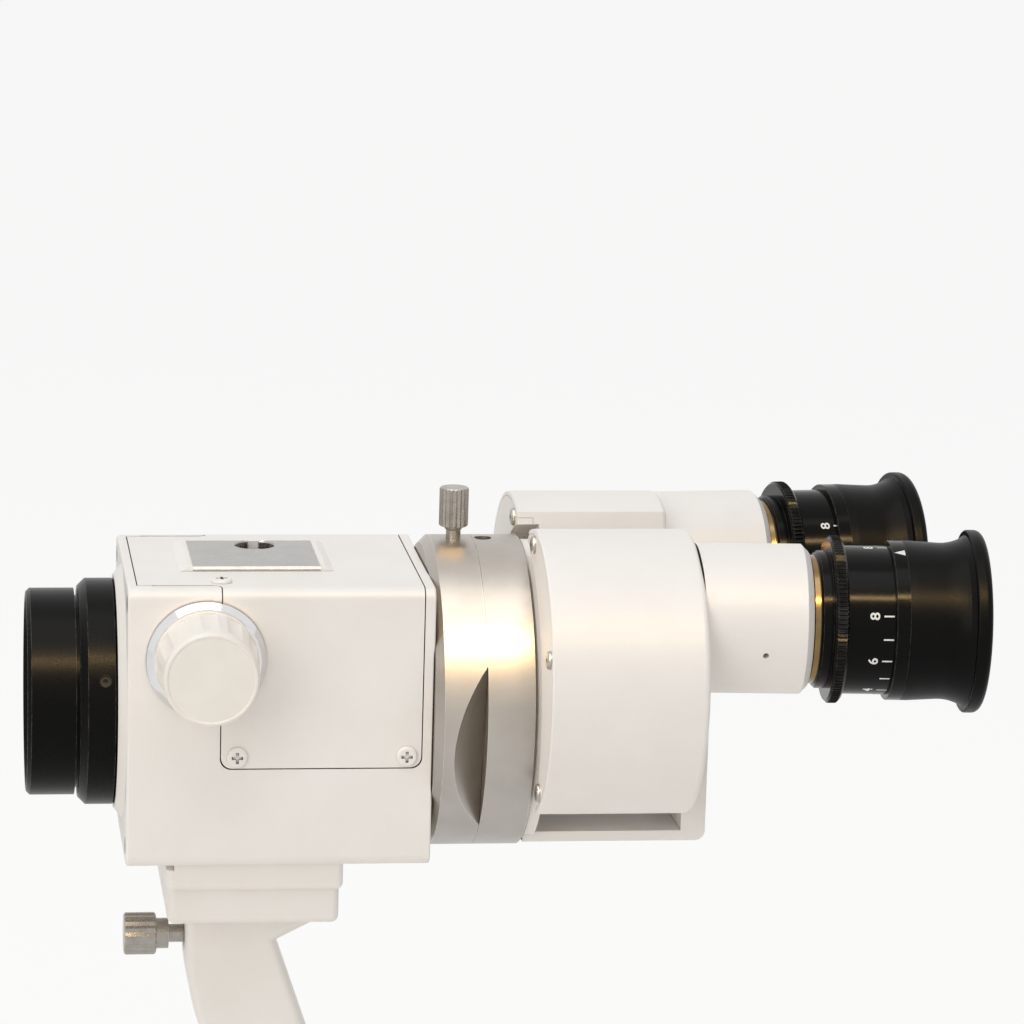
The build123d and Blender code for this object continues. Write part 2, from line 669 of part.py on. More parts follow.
def changer_drum():
    """Lens drum: one clear bore and two lens bores per channel, 60 degrees apart."""
    drum = rod_y(-DRUM_HALF, DRUM_HALF, DRUM_R, DRUM_X)
    reach = FRAME_INNER + FRAME_T + FRAME_GAP + GEAR_T
    drum += rod_y(-reach, FRAME_INNER + FRAME_T + FRAME_GAP, TRUNNION_R, DRUM_X)
    for side in (-1, 1):
        for angle in (0, 60, 120):
            bore = Rot(0, angle, 0) * rod_x(-DRUM_R - 1, DRUM_R + 1, BEAM_R)
            drum -= Pos(DRUM_X, side * PUPIL_OFFSET, 0) * bore
    for step in range(DETENT_STEPS):
        angle = radians(360 * step / DETENT_STEPS)
        centre = DRUM_R + DETENT_BALL_R - DETENT_DEPTH
        x = DRUM_X + centre * cos(angle)
        drum -= Pos(x, 0, centre * sin(angle)) * Sphere(DETENT_BALL_R)
    return drum


def drum_lenses():
    """Strong and weak lenses at the two ends of the lens bores, each seated in its bore."""
    lenses = []
    for side in (-1, 1):
        for angle, strong in ((60, 3.0), (120, 2.2)):
            for end, thick in ((1, strong), (-1, 1.6)):
                x0, x1 = sorted((end * (DRUM_R - 2.5), end * (DRUM_R - 2.5 - thick)))
                lens = Rot(0, angle, 0) * rod_x(x0, x1, BEAM_R - SEAT)
                lenses.append(Pos(DRUM_X, side * PUPIL_OFFSET, 0) * lens)
    return lenses


def changer_gear_face(toward, half_phase):
    """Gear outline turned so that its first tooth or space points at the other gear."""
    angle = degrees(atan2(toward[1], toward[0]))
    return Rot(0, 0, angle) * gear_outline(GEAR_MODULE, half_phase)


def changer_gear(x, z, toward, half_phase, bore):
    """Gear of the changer on its own axis along Y, outside the left upright."""
    outline = changer_gear_face(toward, half_phase)
    gear = Pos(x, -GEAR_Y, z) * extrude(Plane.XZ * outline, GEAR_T)
    return gear - rod_y(-GEAR_Y - GEAR_T - 1, -GEAR_Y + 1, bore, x, z)


def knob_gear():
    """Gear on the knob shaft."""
    return changer_gear(KNOB_X, KNOB_Z, (DRUM_X - KNOB_X, -KNOB_Z), False, SHAFT_R + SEAT)


def drum_gear():
    """Gear on the drum's left trunnion."""
    return changer_gear(DRUM_X, 0.0, (KNOB_X - DRUM_X, KNOB_Z), True, TRUNNION_R + SEAT)


def knob_shaft():
    """Shaft across the body, with a knob on each end."""
    reach = BODY_HALF_WIDTH + SHAFT_REACH
    return rod_y(-reach, reach, SHAFT_R, KNOB_X, KNOB_Z)


def knob_place(side):
    """Place of a knob: +Z points out of the body, z = 0 is the body's side."""
    return Pos(KNOB_X, side * BODY_HALF_WIDTH, KNOB_Z) * Rot(-90 * side, 0, 0)


def knob_skirts():
    """Polished ring at the foot of each knob."""
    face = make_face(Polyline(
        (SHAFT_R + 3, 0, KNOB_GAP), (SKIRT_R, 0, KNOB_GAP), (SKIRT_R, 0, KNOB_GAP + 1.4),
        (SKIRT_FRONT_R, 0, KNOB_GAP + SKIRT_T), (SHAFT_R + 3, 0, KNOB_GAP + SKIRT_T), close=True,
    ))
    return [knob_place(side) * revolve(face, Axis.Z) for side in SIDES.values()]


def knob_caps():
    """Two tapered knobs with broad shallow flutes that stop short of the front rim."""
    base = KNOB_GAP + SKIRT_T
    front = base + CAP_LENGTH
    face = make_face(Polyline(
        (0, 0, KNOB_GAP), (SHAFT_R + 3 - SEAT, 0, KNOB_GAP), (SHAFT_R + 3 - SEAT, 0, base), (CAP_R, 0, base),
        (CAP_FRONT_R, 0, front - 0.8), (CAP_FRONT_R - 0.6, 0, front), (CAP_FACE_R, 0, front),
        (CAP_FACE_R - 0.3, 0, front - 0.3), (0, 0, front - 0.3), close=True,
    ))
    cap = revolve(face, Axis.Z)
    taper = degrees(atan2(CAP_R - CAP_FRONT_R, CAP_LENGTH))
    middle = (CAP_R + CAP_FRONT_R) / 2 + FLUTE_R - FLUTE_DEPTH
    for flute in range(FLUTES):
        cutter = Rot(0, -taper, 0) * Cylinder(FLUTE_R, CAP_LENGTH - 4.5)
        cap -= Rot(0, 0, 360 * flute / FLUTES) * Pos(middle, 0, base + CAP_LENGTH / 2 - 0.6) * cutter
    cap -= rod_z(-1, SHAFT_REACH + SEAT, SHAFT_R + SEAT)
    cap -= knob_grub_cut()
    return [knob_place(side) * cap for side in SIDES.values()]


def knob_grub_cut():
    """Radial hole of a knob's grub screw."""
    return Pos(0, 0, KNOB_GAP + SKIRT_T + 4.0) * Rot(0, 90, 0) * rod_z(0, CAP_R + 1, LOCK_GRUB_R)


def knob_grubs():
    """Grub screw of each knob."""
    length = CAP_R - 1.6
    grub = rod_z(SHAFT_R + SEAT, length, LOCK_GRUB_R - SEAT)
    grub -= Pos(0, 0, length - 1.2) * extrude(RegularPolygon(0.75, 6), 1.3)
    placed = Pos(0, 0, KNOB_GAP + SKIRT_T + 4.0) * Rot(0, 90, 0) * grub
    return [knob_place(side) * placed for side in SIDES.values()]


def detent_spring():
    """Leaf spring on the casting's floor that carries the click ball behind the drum."""
    back = DRUM_X + DRUM_R + RUN + 2 * DETENT_BALL_R
    floor = BODY_BOTTOM + FLOOR_T
    leaf = block(back, back + SPRING_T, -4, 4, floor, 4)
    return leaf + block(back - 6, back, -4, 4, floor, floor + SPRING_T)


def detent_ball():
    """Click ball, drawn at the height at which it rides over the drum's rim."""
    return Pos(DRUM_X + DRUM_R + RUN + DETENT_BALL_R, 0, 0) * Sphere(DETENT_BALL_R)


# Adapter ring and head ring

def adapter_screw_places():
    """Places of the four screws that hold the adapter ring to the body."""
    r = ADAPTER_SCREW_PCR
    spots = []
    for angle in (45, 135, 225, 315):
        spots.append((ADAPTER_FRONT, r * cos(radians(angle)), r * sin(radians(angle))))
    return spots


def adapter_ring():
    """Bead-blasted ring on the body's rear, with a conical front edge, a flat and a socket."""
    corners = [
        (ADAPTER_FRONT, APERTURE_R), (ADAPTER_FRONT, RING_R - RING_CONE),
        (ADAPTER_FRONT + RING_CONE, RING_R), (ADAPTER_END - SEAM / 3, RING_R),
        (ADAPTER_END - SEAM / 3, SPIGOT_R + SEAT), (ADAPTER_FRONT + RING_BASE_T, SPIGOT_R + SEAT),
        (ADAPTER_FRONT + RING_BASE_T, APERTURE_R),
    ]
    ring = turned(corners)
    edge = Pos(ADAPTER_FRONT + RING_CONE + RING_FLAT_REACH, -RING_R, 0)
    tool = edge * Rot(0, 0, RING_FLAT_TILT) * Pos(0, -RING_R / 2, 0) * Box(1.5 * RING_R, RING_R, 2 * RING_R)
    ring -= Rot(RING_FLAT_ANGLE, 0, 0) * tool
    ring -= rod_z(0, RING_R + 1, CLAMP_R + RUN, CLAMP_X)
    for x, y, z in adapter_screw_places():
        ring -= rod_x(x - 1, x + 10, SCREW_R + 0.5 + SEAT, y, z)
        ring -= rod_x(x + 1.6 - SEAT, x + 10, SCREW_R + 2.1, y, z)
    return ring


def adapter_screws():
    """Four cap screws of the adapter ring."""
    screws = []
    for x, y, z in adapter_screw_places():
        screw = rod_x(x - 6.4, x + 1.6, SCREW_R + 0.5, y, z) + rod_x(x + 1.6, x + 3.9, SCREW_R + 2.0, y, z)
        socket = Pos(x + 2.4, y, z) * Rot(0, 90, 0) * extrude(RegularPolygon(1.4, 6), 2)
        screws.append(screw - socket)
    return screws


def head_ring():
    """Ring of the binocular head, with a grooved spigot that the clamp screw holds."""
    start = ADAPTER_FRONT + RING_BASE_T + SEAT
    groove_r = SPIGOT_R - SPIGOT_GROOVE
    corners = [
        (start, SPIGOT_R - 4.6), (start, SPIGOT_R - 0.6), (start + 0.6, SPIGOT_R),
        (CLAMP_X - SPIGOT_GROOVE - 0.6, SPIGOT_R), (CLAMP_X - 0.6, groove_r), (CLAMP_X + 0.6, groove_r),
        (CLAMP_X + SPIGOT_GROOVE + 0.6, SPIGOT_R), (ADAPTER_END, SPIGOT_R), (ADAPTER_END, RING_R),
        (HEAD_RING_END - 0.7, RING_R), (HEAD_RING_END, RING_R - 0.7), (HEAD_RING_END, SPIGOT_R - 4.6),
    ]
    ring = turned(corners)
    ring -= rod_z(RING_R - 6, RING_R + 1, RING_HOLE_R, RING_HOLE_X)
    for y, z in bracket_screw_places():
        ring -= rod_x(HEAD_RING_END - 7, HEAD_RING_END + 1, SCREW_R, y, z)
    return ring


def ring_grub():
    """Grub screw at the bottom of the hole on top of the head ring."""
    grub = rod_z(RING_R - 6, RING_R - 3.2, RING_HOLE_R - SEAT, RING_HOLE_X)
    return grub - Pos(RING_HOLE_X, 0, RING_R - 4.6) * extrude(RegularPolygon(1.3, 6), 2)


def clamp_pad():
    """Brass pad at the tip of the clamp screw, with a cone that enters the spigot's groove."""
    tip = SPIGOT_R - SPIGOT_GROOVE + SEAT
    cone_top = tip + SPIGOT_GROOVE
    cone = Pos(CLAMP_X, 0, (tip + cone_top) / 2) * Cone(0.5, CLAMP_R - 0.1, SPIGOT_GROOVE)
    return cone + rod_z(cone_top, cone_top + 1.2, CLAMP_R - 0.1, CLAMP_X)


def clamp_screw():
    """Thumb screw on top of the adapter ring: ribbed head, neck and shank."""
    pad_top = SPIGOT_R + SEAT + 1.2
    neck_top = RING_R + CLAMP_NECK_H
    screw = rod_z(pad_top, neck_top, CLAMP_R, CLAMP_X)
    flare = Pos(CLAMP_X, 0, neck_top - 0.6) * Cone(CLAMP_R, CLAMP_R + 0.9, 1.2)
    head = Pos(CLAMP_X, 0, neck_top) * ribbed(CLAMP_HEAD_R, CLAMP_HEAD_H, CLAMP_RIBS, RIB_DEPTH)
    return screw + flare + head


def tube_lenses():
    """Tube lens of each channel, seated in the journal's mouth of its swinging housing."""
    lenses = []
    for side in (-1, 1):
        lens = rod_x(HOUSING_FRONT + 0.8, HOUSING_FRONT + 4.0, JOURNAL_BORE_R - SEAT, side * PUPIL_OFFSET)
        lenses.append(lens)
    return lenses


# Bracket of the binocular head

def bracket_screw_places():
    """Countersunk screws that hold the bracket's disc to the head ring."""
    r = SPIGOT_R + 2.6
    return [(r * cos(radians(a)), r * sin(radians(a))) for a in (30, 150, 215, 325)]


def head_bracket():
    """White bracket: disc with two bearing bores, floor, and the rear wall with two more."""
    floor_bottom = BRACKET_FLOOR_TOP - BRACKET_FLOOR_T
    wall_rear = BRACKET_WALL_FRONT + BRACKET_WALL_T
    profile = make_face(Polyline(
        (DISC_FRONT, floor_bottom), (wall_rear, floor_bottom), (wall_rear, BRACKET_WALL_TOP),
        (BRACKET_WALL_FRONT, BRACKET_WALL_TOP), (BRACKET_WALL_FRONT, BRACKET_FLOOR_TOP),
        (DISC_FRONT, BRACKET_FLOOR_TOP), close=True,
    ))
    corner = profile.vertices().sort_by_distance((wall_rear, floor_bottom, 0))[0]
    profile = fillet(corner, BRACKET_CORNER_R)
    bracket = extrude(Plane.XZ * profile, BRACKET_HALF_WIDTH, both=True)
    wall_edges = bracket.edges().filter_by(Axis.X).sort_by(Axis.Z)[-2:]
    bracket = fillet(wall_edges, 6.0)
    bracket += rod_x(DISC_FRONT, DISC_END, BRACKET_DISC_R)
    for side in SIDES.values():
        y = side * PUPIL_OFFSET
        bracket -= rod_x(DISC_FRONT - 1, DISC_END + 1, JOURNAL_R + RUN, y)
        bracket -= rod_x(BRACKET_WALL_FRONT - 1, wall_rear + 1, REAR_PIN_R + RUN, y)
    for y, z in bracket_screw_places():
        bracket -= Pos(DISC_END, y, z) * Rot(0, 90, 0) * countersunk_hole()
    return bracket


def bracket_screws():
    """Countersunk screws from the disc's rear side into the head ring."""
    screws = []
    for y, z in bracket_screw_places():
        screws.append(Pos(DISC_END, y, z) * Rot(0, 90, 0) * countersunk_screw(BRACKET_DISC_T + 6))
    return screws


# Swinging housings

def housing_outline(side, inset=0.0, flat_inset=0.0):
    """Round outline with two inner flats that meet the other housing at the ends of the swing."""
    disc = Pos(side * HOUSING_Y, HOUSING_Z) * Circle(HOUSING_R - inset)
    reach = 3 * HOUSING_R
    keep = HOUSING_INNER - flat_inset
    for lean in (-side * SWING_IN, side * SWING_OUT):
        slab = Pos(side * (reach / 2 - keep), 0) * Rectangle(reach, 2 * reach)
        disc &= Pos(side * PUPIL_OFFSET, 0) * Rot(0, 0, lean) * slab
    return disc


def housing_layer(side, start, length, inset=0.0, flat_inset=0.0):
    """Slice of a housing's outline along X."""
    return extrude(Plane.YZ.offset(start) * housing_outline(side, inset, flat_inset), length)


def prism_housing(side):
    """Deep shell of one side, closed at the rear, with the rear pivot pin and the tube's seat."""
    shell = housing_layer(side, HOUSING_FRONT, HOUSING_REAR - HOUSING_FRONT)
    shell = fillet(shell.faces().sort_by(Axis.X)[-1].outer_wire().edges(), HOUSING_EDGE_R)
    shell = fillet(shell.faces().sort_by(Axis.X)[0].outer_wire().edges(), HOUSING_FRONT_R)
    pocket_end = HOUSING_FRONT + COVER_DEPTH
    shell -= housing_layer(side, HOUSING_FRONT - 1, COVER_LIP + 1, COVER_RIM, -1.0)
    shell -= housing_layer(side, HOUSING_FRONT - 1, COVER_DEPTH + 1, COVER_RIM, COVER_RIM)
    cavity_length = HOUSING_REAR - HOUSING_WALL - pocket_end + 1
    shell -= housing_layer(side, pocket_end - 1, cavity_length, HOUSING_WALL, HOUSING_WALL)
    shell -= ring_clearance()
    pin_end = BRACKET_WALL_FRONT + BRACKET_WALL_T + 0.4
    shell += rod_x(HOUSING_REAR - HOUSING_WALL, pin_end, REAR_PIN_R, side * PUPIL_OFFSET)
    for y, z in cover_screw_spots(side):
        shell += rod_x(pocket_end, pocket_end + 6, SCREW_R + 1.7, y, z)
        shell -= rod_x(pocket_end - 1, pocket_end + 4, SCREW_R, y, z)
    return shell - eye_place(side) * rod_x(TUBE_START - 8, TUBE_START + 5, TUBE_BORE_R)


def ring_clearance():
    """Round recess around the optical axis that clears the bracket's disc over the swing."""
    return rod_x(HOUSING_FRONT - 1, COVER_FLOOR_X, COVER_RECESS_R)


def cover_screw_spots(side):
    """Places of the housing cover's screws on their circle around the housing's centre."""
    name = "left" if side < 0 else "right"
    spots = []
    for i in range(3):
        angle = radians(COVER_SCREW_FIRST[name] + i * COVER_SCREW_STEP)
        y = HOUSING_Y - COVER_SCREW_PCR * cos(angle)
        spots.append((side * y, HOUSING_Z + COVER_SCREW_PCR * sin(angle)))
    return spots


def housing_cover(side):
    """Front cover of a housing, stepped around the bracket's disc, with the entry journal."""
    y = side * PUPIL_OFFSET
    gap = SEAM / 3
    cover = housing_layer(side, HOUSING_FRONT, COVER_LIP - gap, COVER_RIM + gap)
    cover += housing_layer(side, HOUSING_FRONT, COVER_DEPTH, COVER_RIM + gap, COVER_RIM + gap)
    cover -= ring_clearance()
    cover += rod_x(DISC_FRONT + 0.3, COVER_FLOOR_X + 1, JOURNAL_R, y)
    cover -= rod_x(DISC_FRONT - 1, HOUSING_FRONT + COVER_DEPTH + 1, JOURNAL_BORE_R, y)
    for screw_y, screw_z in cover_screw_spots(side):
        cover -= rod_x(HOUSING_FRONT - 1, HOUSING_FRONT + COVER_DEPTH + 1, SCREW_R, screw_y, screw_z)
    return cover


def housing_cover_screws(side):
    """Screws of a housing cover, with raised heads on its front face."""
    screws = []
    for y, z in cover_screw_spots(side):
        screw = cross_screw(COVER_DEPTH + 3, COVER_SCREW_HEAD_R)
        screws.append(Pos(HOUSING_FRONT, y, z) * Rot(0, -90, 0) * screw)
    return screws


def swing_gear(side):
    """Sector gear on the entry journal; the two sectors mesh at the middle of the head."""
    x0 = DISC_END + FRAME_GAP
    thickness = COVER_FLOOR_X - x0 - FRAME_GAP
    outline = gear_outline(SWING_GEAR_MODULE, side > 0, span=SWING_GEAR_SPAN)
    turned_outline = Rot(0, 0, 0 if side < 0 else 180) * outline
    gear = Pos(0, side * PUPIL_OFFSET, 0) * extrude(Plane.YZ.offset(x0) * turned_outline, thickness)
    return gear - rod_x(x0 - 1, x0 + 5, JOURNAL_R + SEAT, side * PUPIL_OFFSET)


def prism(side):
    """Rhomboid prism that carries the beam from the entry journal to the eyepiece tube."""
    tube_x = TUBE_START * cos(radians(CONVERGENCE)) + EYE_X
    tube_y = side * (EYE_Y + (tube_x - EYE_X) * tan(radians(CONVERGENCE)))
    dy = tube_y - side * PUPIL_OFFSET
    shift = sqrt(dy**2 + EYE_Z**2)
    start = HOUSING_FRONT + COVER_DEPTH + SEAT
    half = PRISM_SIDE / 2
    outline = make_face(Polyline(
        (start, -half), (start + PRISM_SIDE, half), (start + PRISM_SIDE, shift + half),
        (start, shift - half), close=True,
    ))
    glass = extrude(Plane.XZ * outline, half, both=True)
    lean = degrees(atan2(-dy, EYE_Z))
    return Pos(0, side * PUPIL_OFFSET, 0) * Rot(lean, 0, 0) * glass


# Eyepieces

def eye_place(side):
    """Place of an eyepiece: its own +X axis points at the examiner's eye."""
    return Pos(EYE_X, side * EYE_Y, EYE_Z) * Rot(0, 0, side * CONVERGENCE)


def tube_grub_place():
    """Place of the tube's grub screw, with +Z pointing outwards."""
    return Pos(TUBE_GRUB_T, 0, 0) * Rot(90 - TUBE_GRUB_ANGLE, 0, 0)


def eyepiece_tube(side):
    """Painted tube of one side, with a bevelled end and a grub screw hole."""
    tube = turned([
        (TUBE_START, TUBE_BORE_R), (TUBE_START, TUBE_R), (TUBE_END - TUBE_BEVEL, TUBE_R),
        (TUBE_END, TUBE_R - TUBE_BEVEL), (TUBE_END, TUBE_BORE_R),
    ])
    tube -= tube_grub_place() * rod_z(0, TUBE_R + 1, TUBE_GRUB_R)
    tube = eye_place(side) * tube
    return tube - rod_x(0, HOUSING_REAR + SEAT, 100)


def eyepiece_barrel(side):
    """Brass barrel that plugs into the tube and carries the dioptre drum on its sleeve."""
    corners = [
        (PLUG_START, BARREL_EYE_BORE), (PLUG_START, TUBE_BORE_R - SEAT), (TUBE_END + SEAT, TUBE_BORE_R - SEAT),
        (TUBE_END + SEAT, SHOULDER_R - 0.4), (TUBE_END + SEAT + 0.4, SHOULDER_R), (SHOULDER_END, SHOULDER_R),
        (SHOULDER_END, SLEEVE_R), (SLEEVE_END, SLEEVE_R),
        (SLEEVE_END, BARREL_EYE_BORE),
    ]
    return eye_place(side) * turned(corners)


def dioptre_drum(side):
    """Hub, knurled flange and scale drum in one piece, turning on the barrel's sleeve."""
    start = SHOULDER_END + RUN
    bore = SLEEVE_R + RUN
    drum = turned([
        (start, bore), (start, STEP_R - 0.6), (start + 0.6, STEP_R), (STEP_END, STEP_R), (STEP_END, SCALE_R),
        (SCALE_END - 0.3, SCALE_R), (SCALE_END, SCALE_R - 0.3), (SCALE_END, bore),
    ])
    flange = Pos(STEP_END, 0, 0) * Rot(0, 90, 0) * ribbed(FLANGE_R, FLANGE_T, FLANGE_RIBS, FLANGE_RIB_DEPTH)
    flange -= rod_x(STEP_END - 1, STEP_END + FLANGE_T + 1, SCALE_R - 1)
    return eye_place(side) * (drum + flange)


def dioptre_shift(name):
    """Travel of an eye end from its zero setting at rest."""
    return DIOPTRE_AT_REST[name] * DEGREES_PER_DIOPTRE / 360 * DIOPTRE_LEAD


def index_sleeve(name):
    """Sleeve that carries the index mark outside and the lens cell inside."""
    start = INDEX_START + dioptre_shift(name)
    bore = SCALE_R + RUN
    cell = BARREL_EYE_BORE - RUN
    web = start + EYE_WEB
    end = start + EYE_END_LENGTH - 4
    wall_r = SCALE_R + 0.9
    corners = [
        (start, bore), (start, INDEX_R - 0.2), (start + 0.2, INDEX_R), (start + INDEX_T, INDEX_R),
        (start + INDEX_T, wall_r), (end, wall_r), (end, wall_r - 3), (web + 4.2, EYE_LENS_R + 1.6),
        (web + 4.2, EYE_LENS_R + SEAT), (start - EYE_TAIL, EYE_LENS_R + SEAT), (start - EYE_TAIL, cell),
        (web, cell), (web, bore),
    ]
    return eye_place(SIDES[name]) * turned(corners)


def eyecup(name):
    """Rubber cup pushed over the sleeve, with a slight waist and a flaring rolled rim."""
    start = INDEX_START + dioptre_shift(name) + INDEX_T + SEAT
    end = start + CUP_BACK
    inner = SCALE_R + 0.9 + SEAT
    sleeve_end = INDEX_START + dioptre_shift(name) + EYE_END_LENGTH - 4 + SEAT
    rim = end - CUP_RIM_T
    flare_r = CUP_WAIST_R + CUP_FLARE
    corners = [
        (start, inner), (start, INDEX_R), (start + 2.0, INDEX_R), (start + CUP_WAIST_T, CUP_WAIST_R),
        (rim - CUP_FLARE, flare_r), (rim, flare_r + 0.9), (rim, CUP_RIM_R), (end, CUP_RIM_R),
        (end, CUP_RIM_R - 4.4), (sleeve_end, inner - 3.0), (sleeve_end, inner),
    ]
    round_r = 0.46 * CUP_RIM_T
    rounds = [((start + CUP_WAIST_T, CUP_WAIST_R), 12.0), ((rim, CUP_RIM_R), 0.6), ((end, CUP_RIM_R), round_r)]
    return eye_place(SIDES[name]) * turned(corners, rounds)


def eyepiece_lenses(name):
    """Eye lens and field lens in the cell of one eye end."""
    start = INDEX_START + dioptre_shift(name)
    web = start + EYE_WEB
    eye_lens = lens_x(web - 1.4, web + 3.6, EYE_LENS_R, 0.0, 1.2)
    field_lens = lens_x(start - 8.0, start - 4.6, EYE_LENS_R, 1.0, 0.0)
    return [eye_place(SIDES[name]) * eye_lens, eye_place(SIDES[name]) * field_lens]


# Foot of the body and arm

def foot_screw_places():
    """Places of the four screws that hold the foot to the body's floor."""
    middle = (FOOT_FRONT + FOOT_REAR) / 2
    return [(middle + dx, dy) for dx in (-15.5, 15.5) for dy in (-FOOT_SCREW_Y, FOOT_SCREW_Y)]


def mounting_foot():
    """Foot under the body, with the pin that enters the arm."""
    foot = block(FOOT_FRONT, FOOT_REAR, -FOOT_HALF_WIDTH, FOOT_HALF_WIDTH, FOOT_BOTTOM, BODY_BOTTOM)
    upright = foot.edges().filter_by(Axis.Z)
    foot = fillet(upright, FOOT_ROUND)
    foot = fillet(foot.faces().sort_by(Axis.Z)[0].outer_wire().edges(), FOOT_ROUND)
    notch_z = BODY_BOTTOM - FOOT_NOTCH
    foot -= block(FOOT_FRONT - 1, FOOT_FRONT + FOOT_NOTCH, -40, 40, notch_z, BODY_BOTTOM + 1)
    end = FOOT_BOTTOM - SPIGOT_PIN_LENGTH
    pin = rod_z(end, FOOT_BOTTOM + 1, SPIGOT_PIN_R - SEAT, SPIGOT_PIN_X)
    groove = Pos(SPIGOT_PIN_X, 0, LOCK_SCREW_Z) * Torus(SPIGOT_PIN_R + LOCK_R - LOCK_GROOVE, LOCK_R)
    foot += pin - groove
    for x, y in foot_screw_places():
        foot -= rod_z(FOOT_BOTTOM - 1, BODY_BOTTOM + 1, FOOT_SCREW_R, x, y)
        foot -= rod_z(FOOT_BOTTOM - 1, FOOT_BOTTOM + 5.2, 2 * FOOT_SCREW_R, x, y)
    return foot


def foot_screws():
    """Cap screws that hold the foot, with their heads sunk in its underside."""
    screws = []
    for x, y in foot_screw_places():
        screw = rod_z(FOOT_BOTTOM + 5.2, BODY_BOTTOM + FLOOR_T - 0.8, FOOT_SCREW_R - SEAT, x, y)
        screw += rod_z(FOOT_BOTTOM + 0.4, FOOT_BOTTOM + 5.2, 2 * FOOT_SCREW_R - 0.2, x, y)
        screw -= Pos(x, y, FOOT_BOTTOM) * extrude(RegularPolygon(2.0, 6), 3)
        screws.append(screw)
    return screws


def arm_profile():
    """Side outline of the arm: leaning column, gusset under the block, bends at both ends."""
    front_bend_x = ARM_FRONT + (ARM_BEND_TOP - ARM_BEND_END) * BEND_SHIFT
    gusset_x = ARM_BACK + GUSSET_REACH
    gusset_z = ARM_BEND_TOP + 2 + GUSSET_DROP
    top = BLOCK_BOTTOM + 2
    edges = Line((ARM_FRONT, top), (ARM_FRONT, ARM_BEND_TOP))
    edges += TangentArc((ARM_FRONT, ARM_BEND_TOP), (front_bend_x, ARM_BEND_END), tangent=(0, -1))
    edges += Line((front_bend_x, ARM_BEND_END), (ARM_FRONT_LOW, ARM_FOOT_BEND))
    root = ARM_FOOT_TOP - ARM_ROOT
    bend_z = (ARM_FOOT_BEND + ARM_FOOT_TOP) / 2
    bend_dx = 0.72 * FOOT_SHIFT
    low = (ARM_FRONT_LOW + FOOT_SHIFT, ARM_FOOT_TOP)
    edges += ThreePointArc((ARM_FRONT_LOW, ARM_FOOT_BEND), (ARM_FRONT_LOW + bend_dx, bend_z), low)
    back_low = (ARM_BACK_LOW + FOOT_SHIFT, ARM_FOOT_TOP)
    edges += Line(low, (low[0], root))
    edges += Line((low[0], root), (back_low[0], root))
    edges += Line((back_low[0], root), back_low)
    edges += ThreePointArc(back_low, (ARM_BACK_LOW + bend_dx, bend_z), (ARM_BACK_LOW, ARM_FOOT_BEND))
    edges += Line((ARM_BACK_LOW, ARM_FOOT_BEND), (ARM_BACK, ARM_BEND_TOP + 2))
    edges += Line((ARM_BACK, ARM_BEND_TOP + 2), (gusset_x, gusset_z))
    edges += Line((gusset_x, gusset_z), (gusset_x, top))
    edges += Line((gusset_x, top), (ARM_FRONT, top))
    return make_face(edges)


def arm_casting():
    """Arm in one casting: head block with the pin's bore, leaning column, and bolted foot."""
    head = block(BLOCK_FRONT, BLOCK_REAR, -BLOCK_HALF_WIDTH, BLOCK_HALF_WIDTH, BLOCK_BOTTOM, FOOT_BOTTOM)
    head = fillet(head.edges().filter_by(Axis.Z), BLOCK_ROUND)
    head = fillet(head.faces().sort_by(Axis.Z)[0].outer_wire().edges(), BLOCK_ROUND)
    column = extrude(Plane.XZ * arm_profile(), ARM_HALF_WIDTH, both=True)
    sides = column.faces().filter_by(Axis.Y)
    column = fillet(sides.edges(), ARM_EDGE_R)
    foot = Pos(ARM_FOOT_X, 0, ARM_FOOT_BOTTOM) * RectangleRounded(ARM_FOOT_L, ARM_FOOT_W, ARM_FOOT_R)
    foot = extrude(foot, ARM_FOOT_TOP - ARM_FOOT_BOTTOM)
    foot = fillet(foot.faces().sort_by(Axis.Z)[-1].outer_wire().edges(), 1.5)
    arm = head + column + foot
    bore_end = FOOT_BOTTOM - SPIGOT_PIN_LENGTH - 0.5
    arm -= rod_z(bore_end, FOOT_BOTTOM + 1, SPIGOT_PIN_R, SPIGOT_PIN_X)
    arm -= rod_x(ARM_FRONT - 2, SPIGOT_PIN_X, LOCK_R + RUN, 0, LOCK_SCREW_Z)
    arm -= rod_x(ARM_FRONT - 2, ARM_FRONT + 0.8, LOCK_COLLAR_R + 0.6, 0, LOCK_SCREW_Z)
    for dx in (-ARM_BOLT_SPACING[0] / 2, ARM_BOLT_SPACING[0] / 2):
        for dy in (-ARM_BOLT_SPACING[1] / 2, ARM_BOLT_SPACING[1] / 2):
            arm -= rod_z(ARM_FOOT_BOTTOM - 1, ARM_FOOT_TOP + 1, ARM_BOLT_R, ARM_FOOT_X + dx, dy)
    return arm


def lock_pad():
    """Brass pad at the tip of the lock screw, with a cone that enters the pin's groove."""
    tip = SPIGOT_PIN_X - SPIGOT_PIN_R + LOCK_GROOVE - 0.15
    pad = turned([
        (tip - 3.4, 0.0), (tip - 3.4, LOCK_R - 0.1), (tip - 1.8, LOCK_R - 0.1), (tip, 0.7), (tip, 0.0),
    ])
    return Pos(0, 0, LOCK_SCREW_Z) * pad


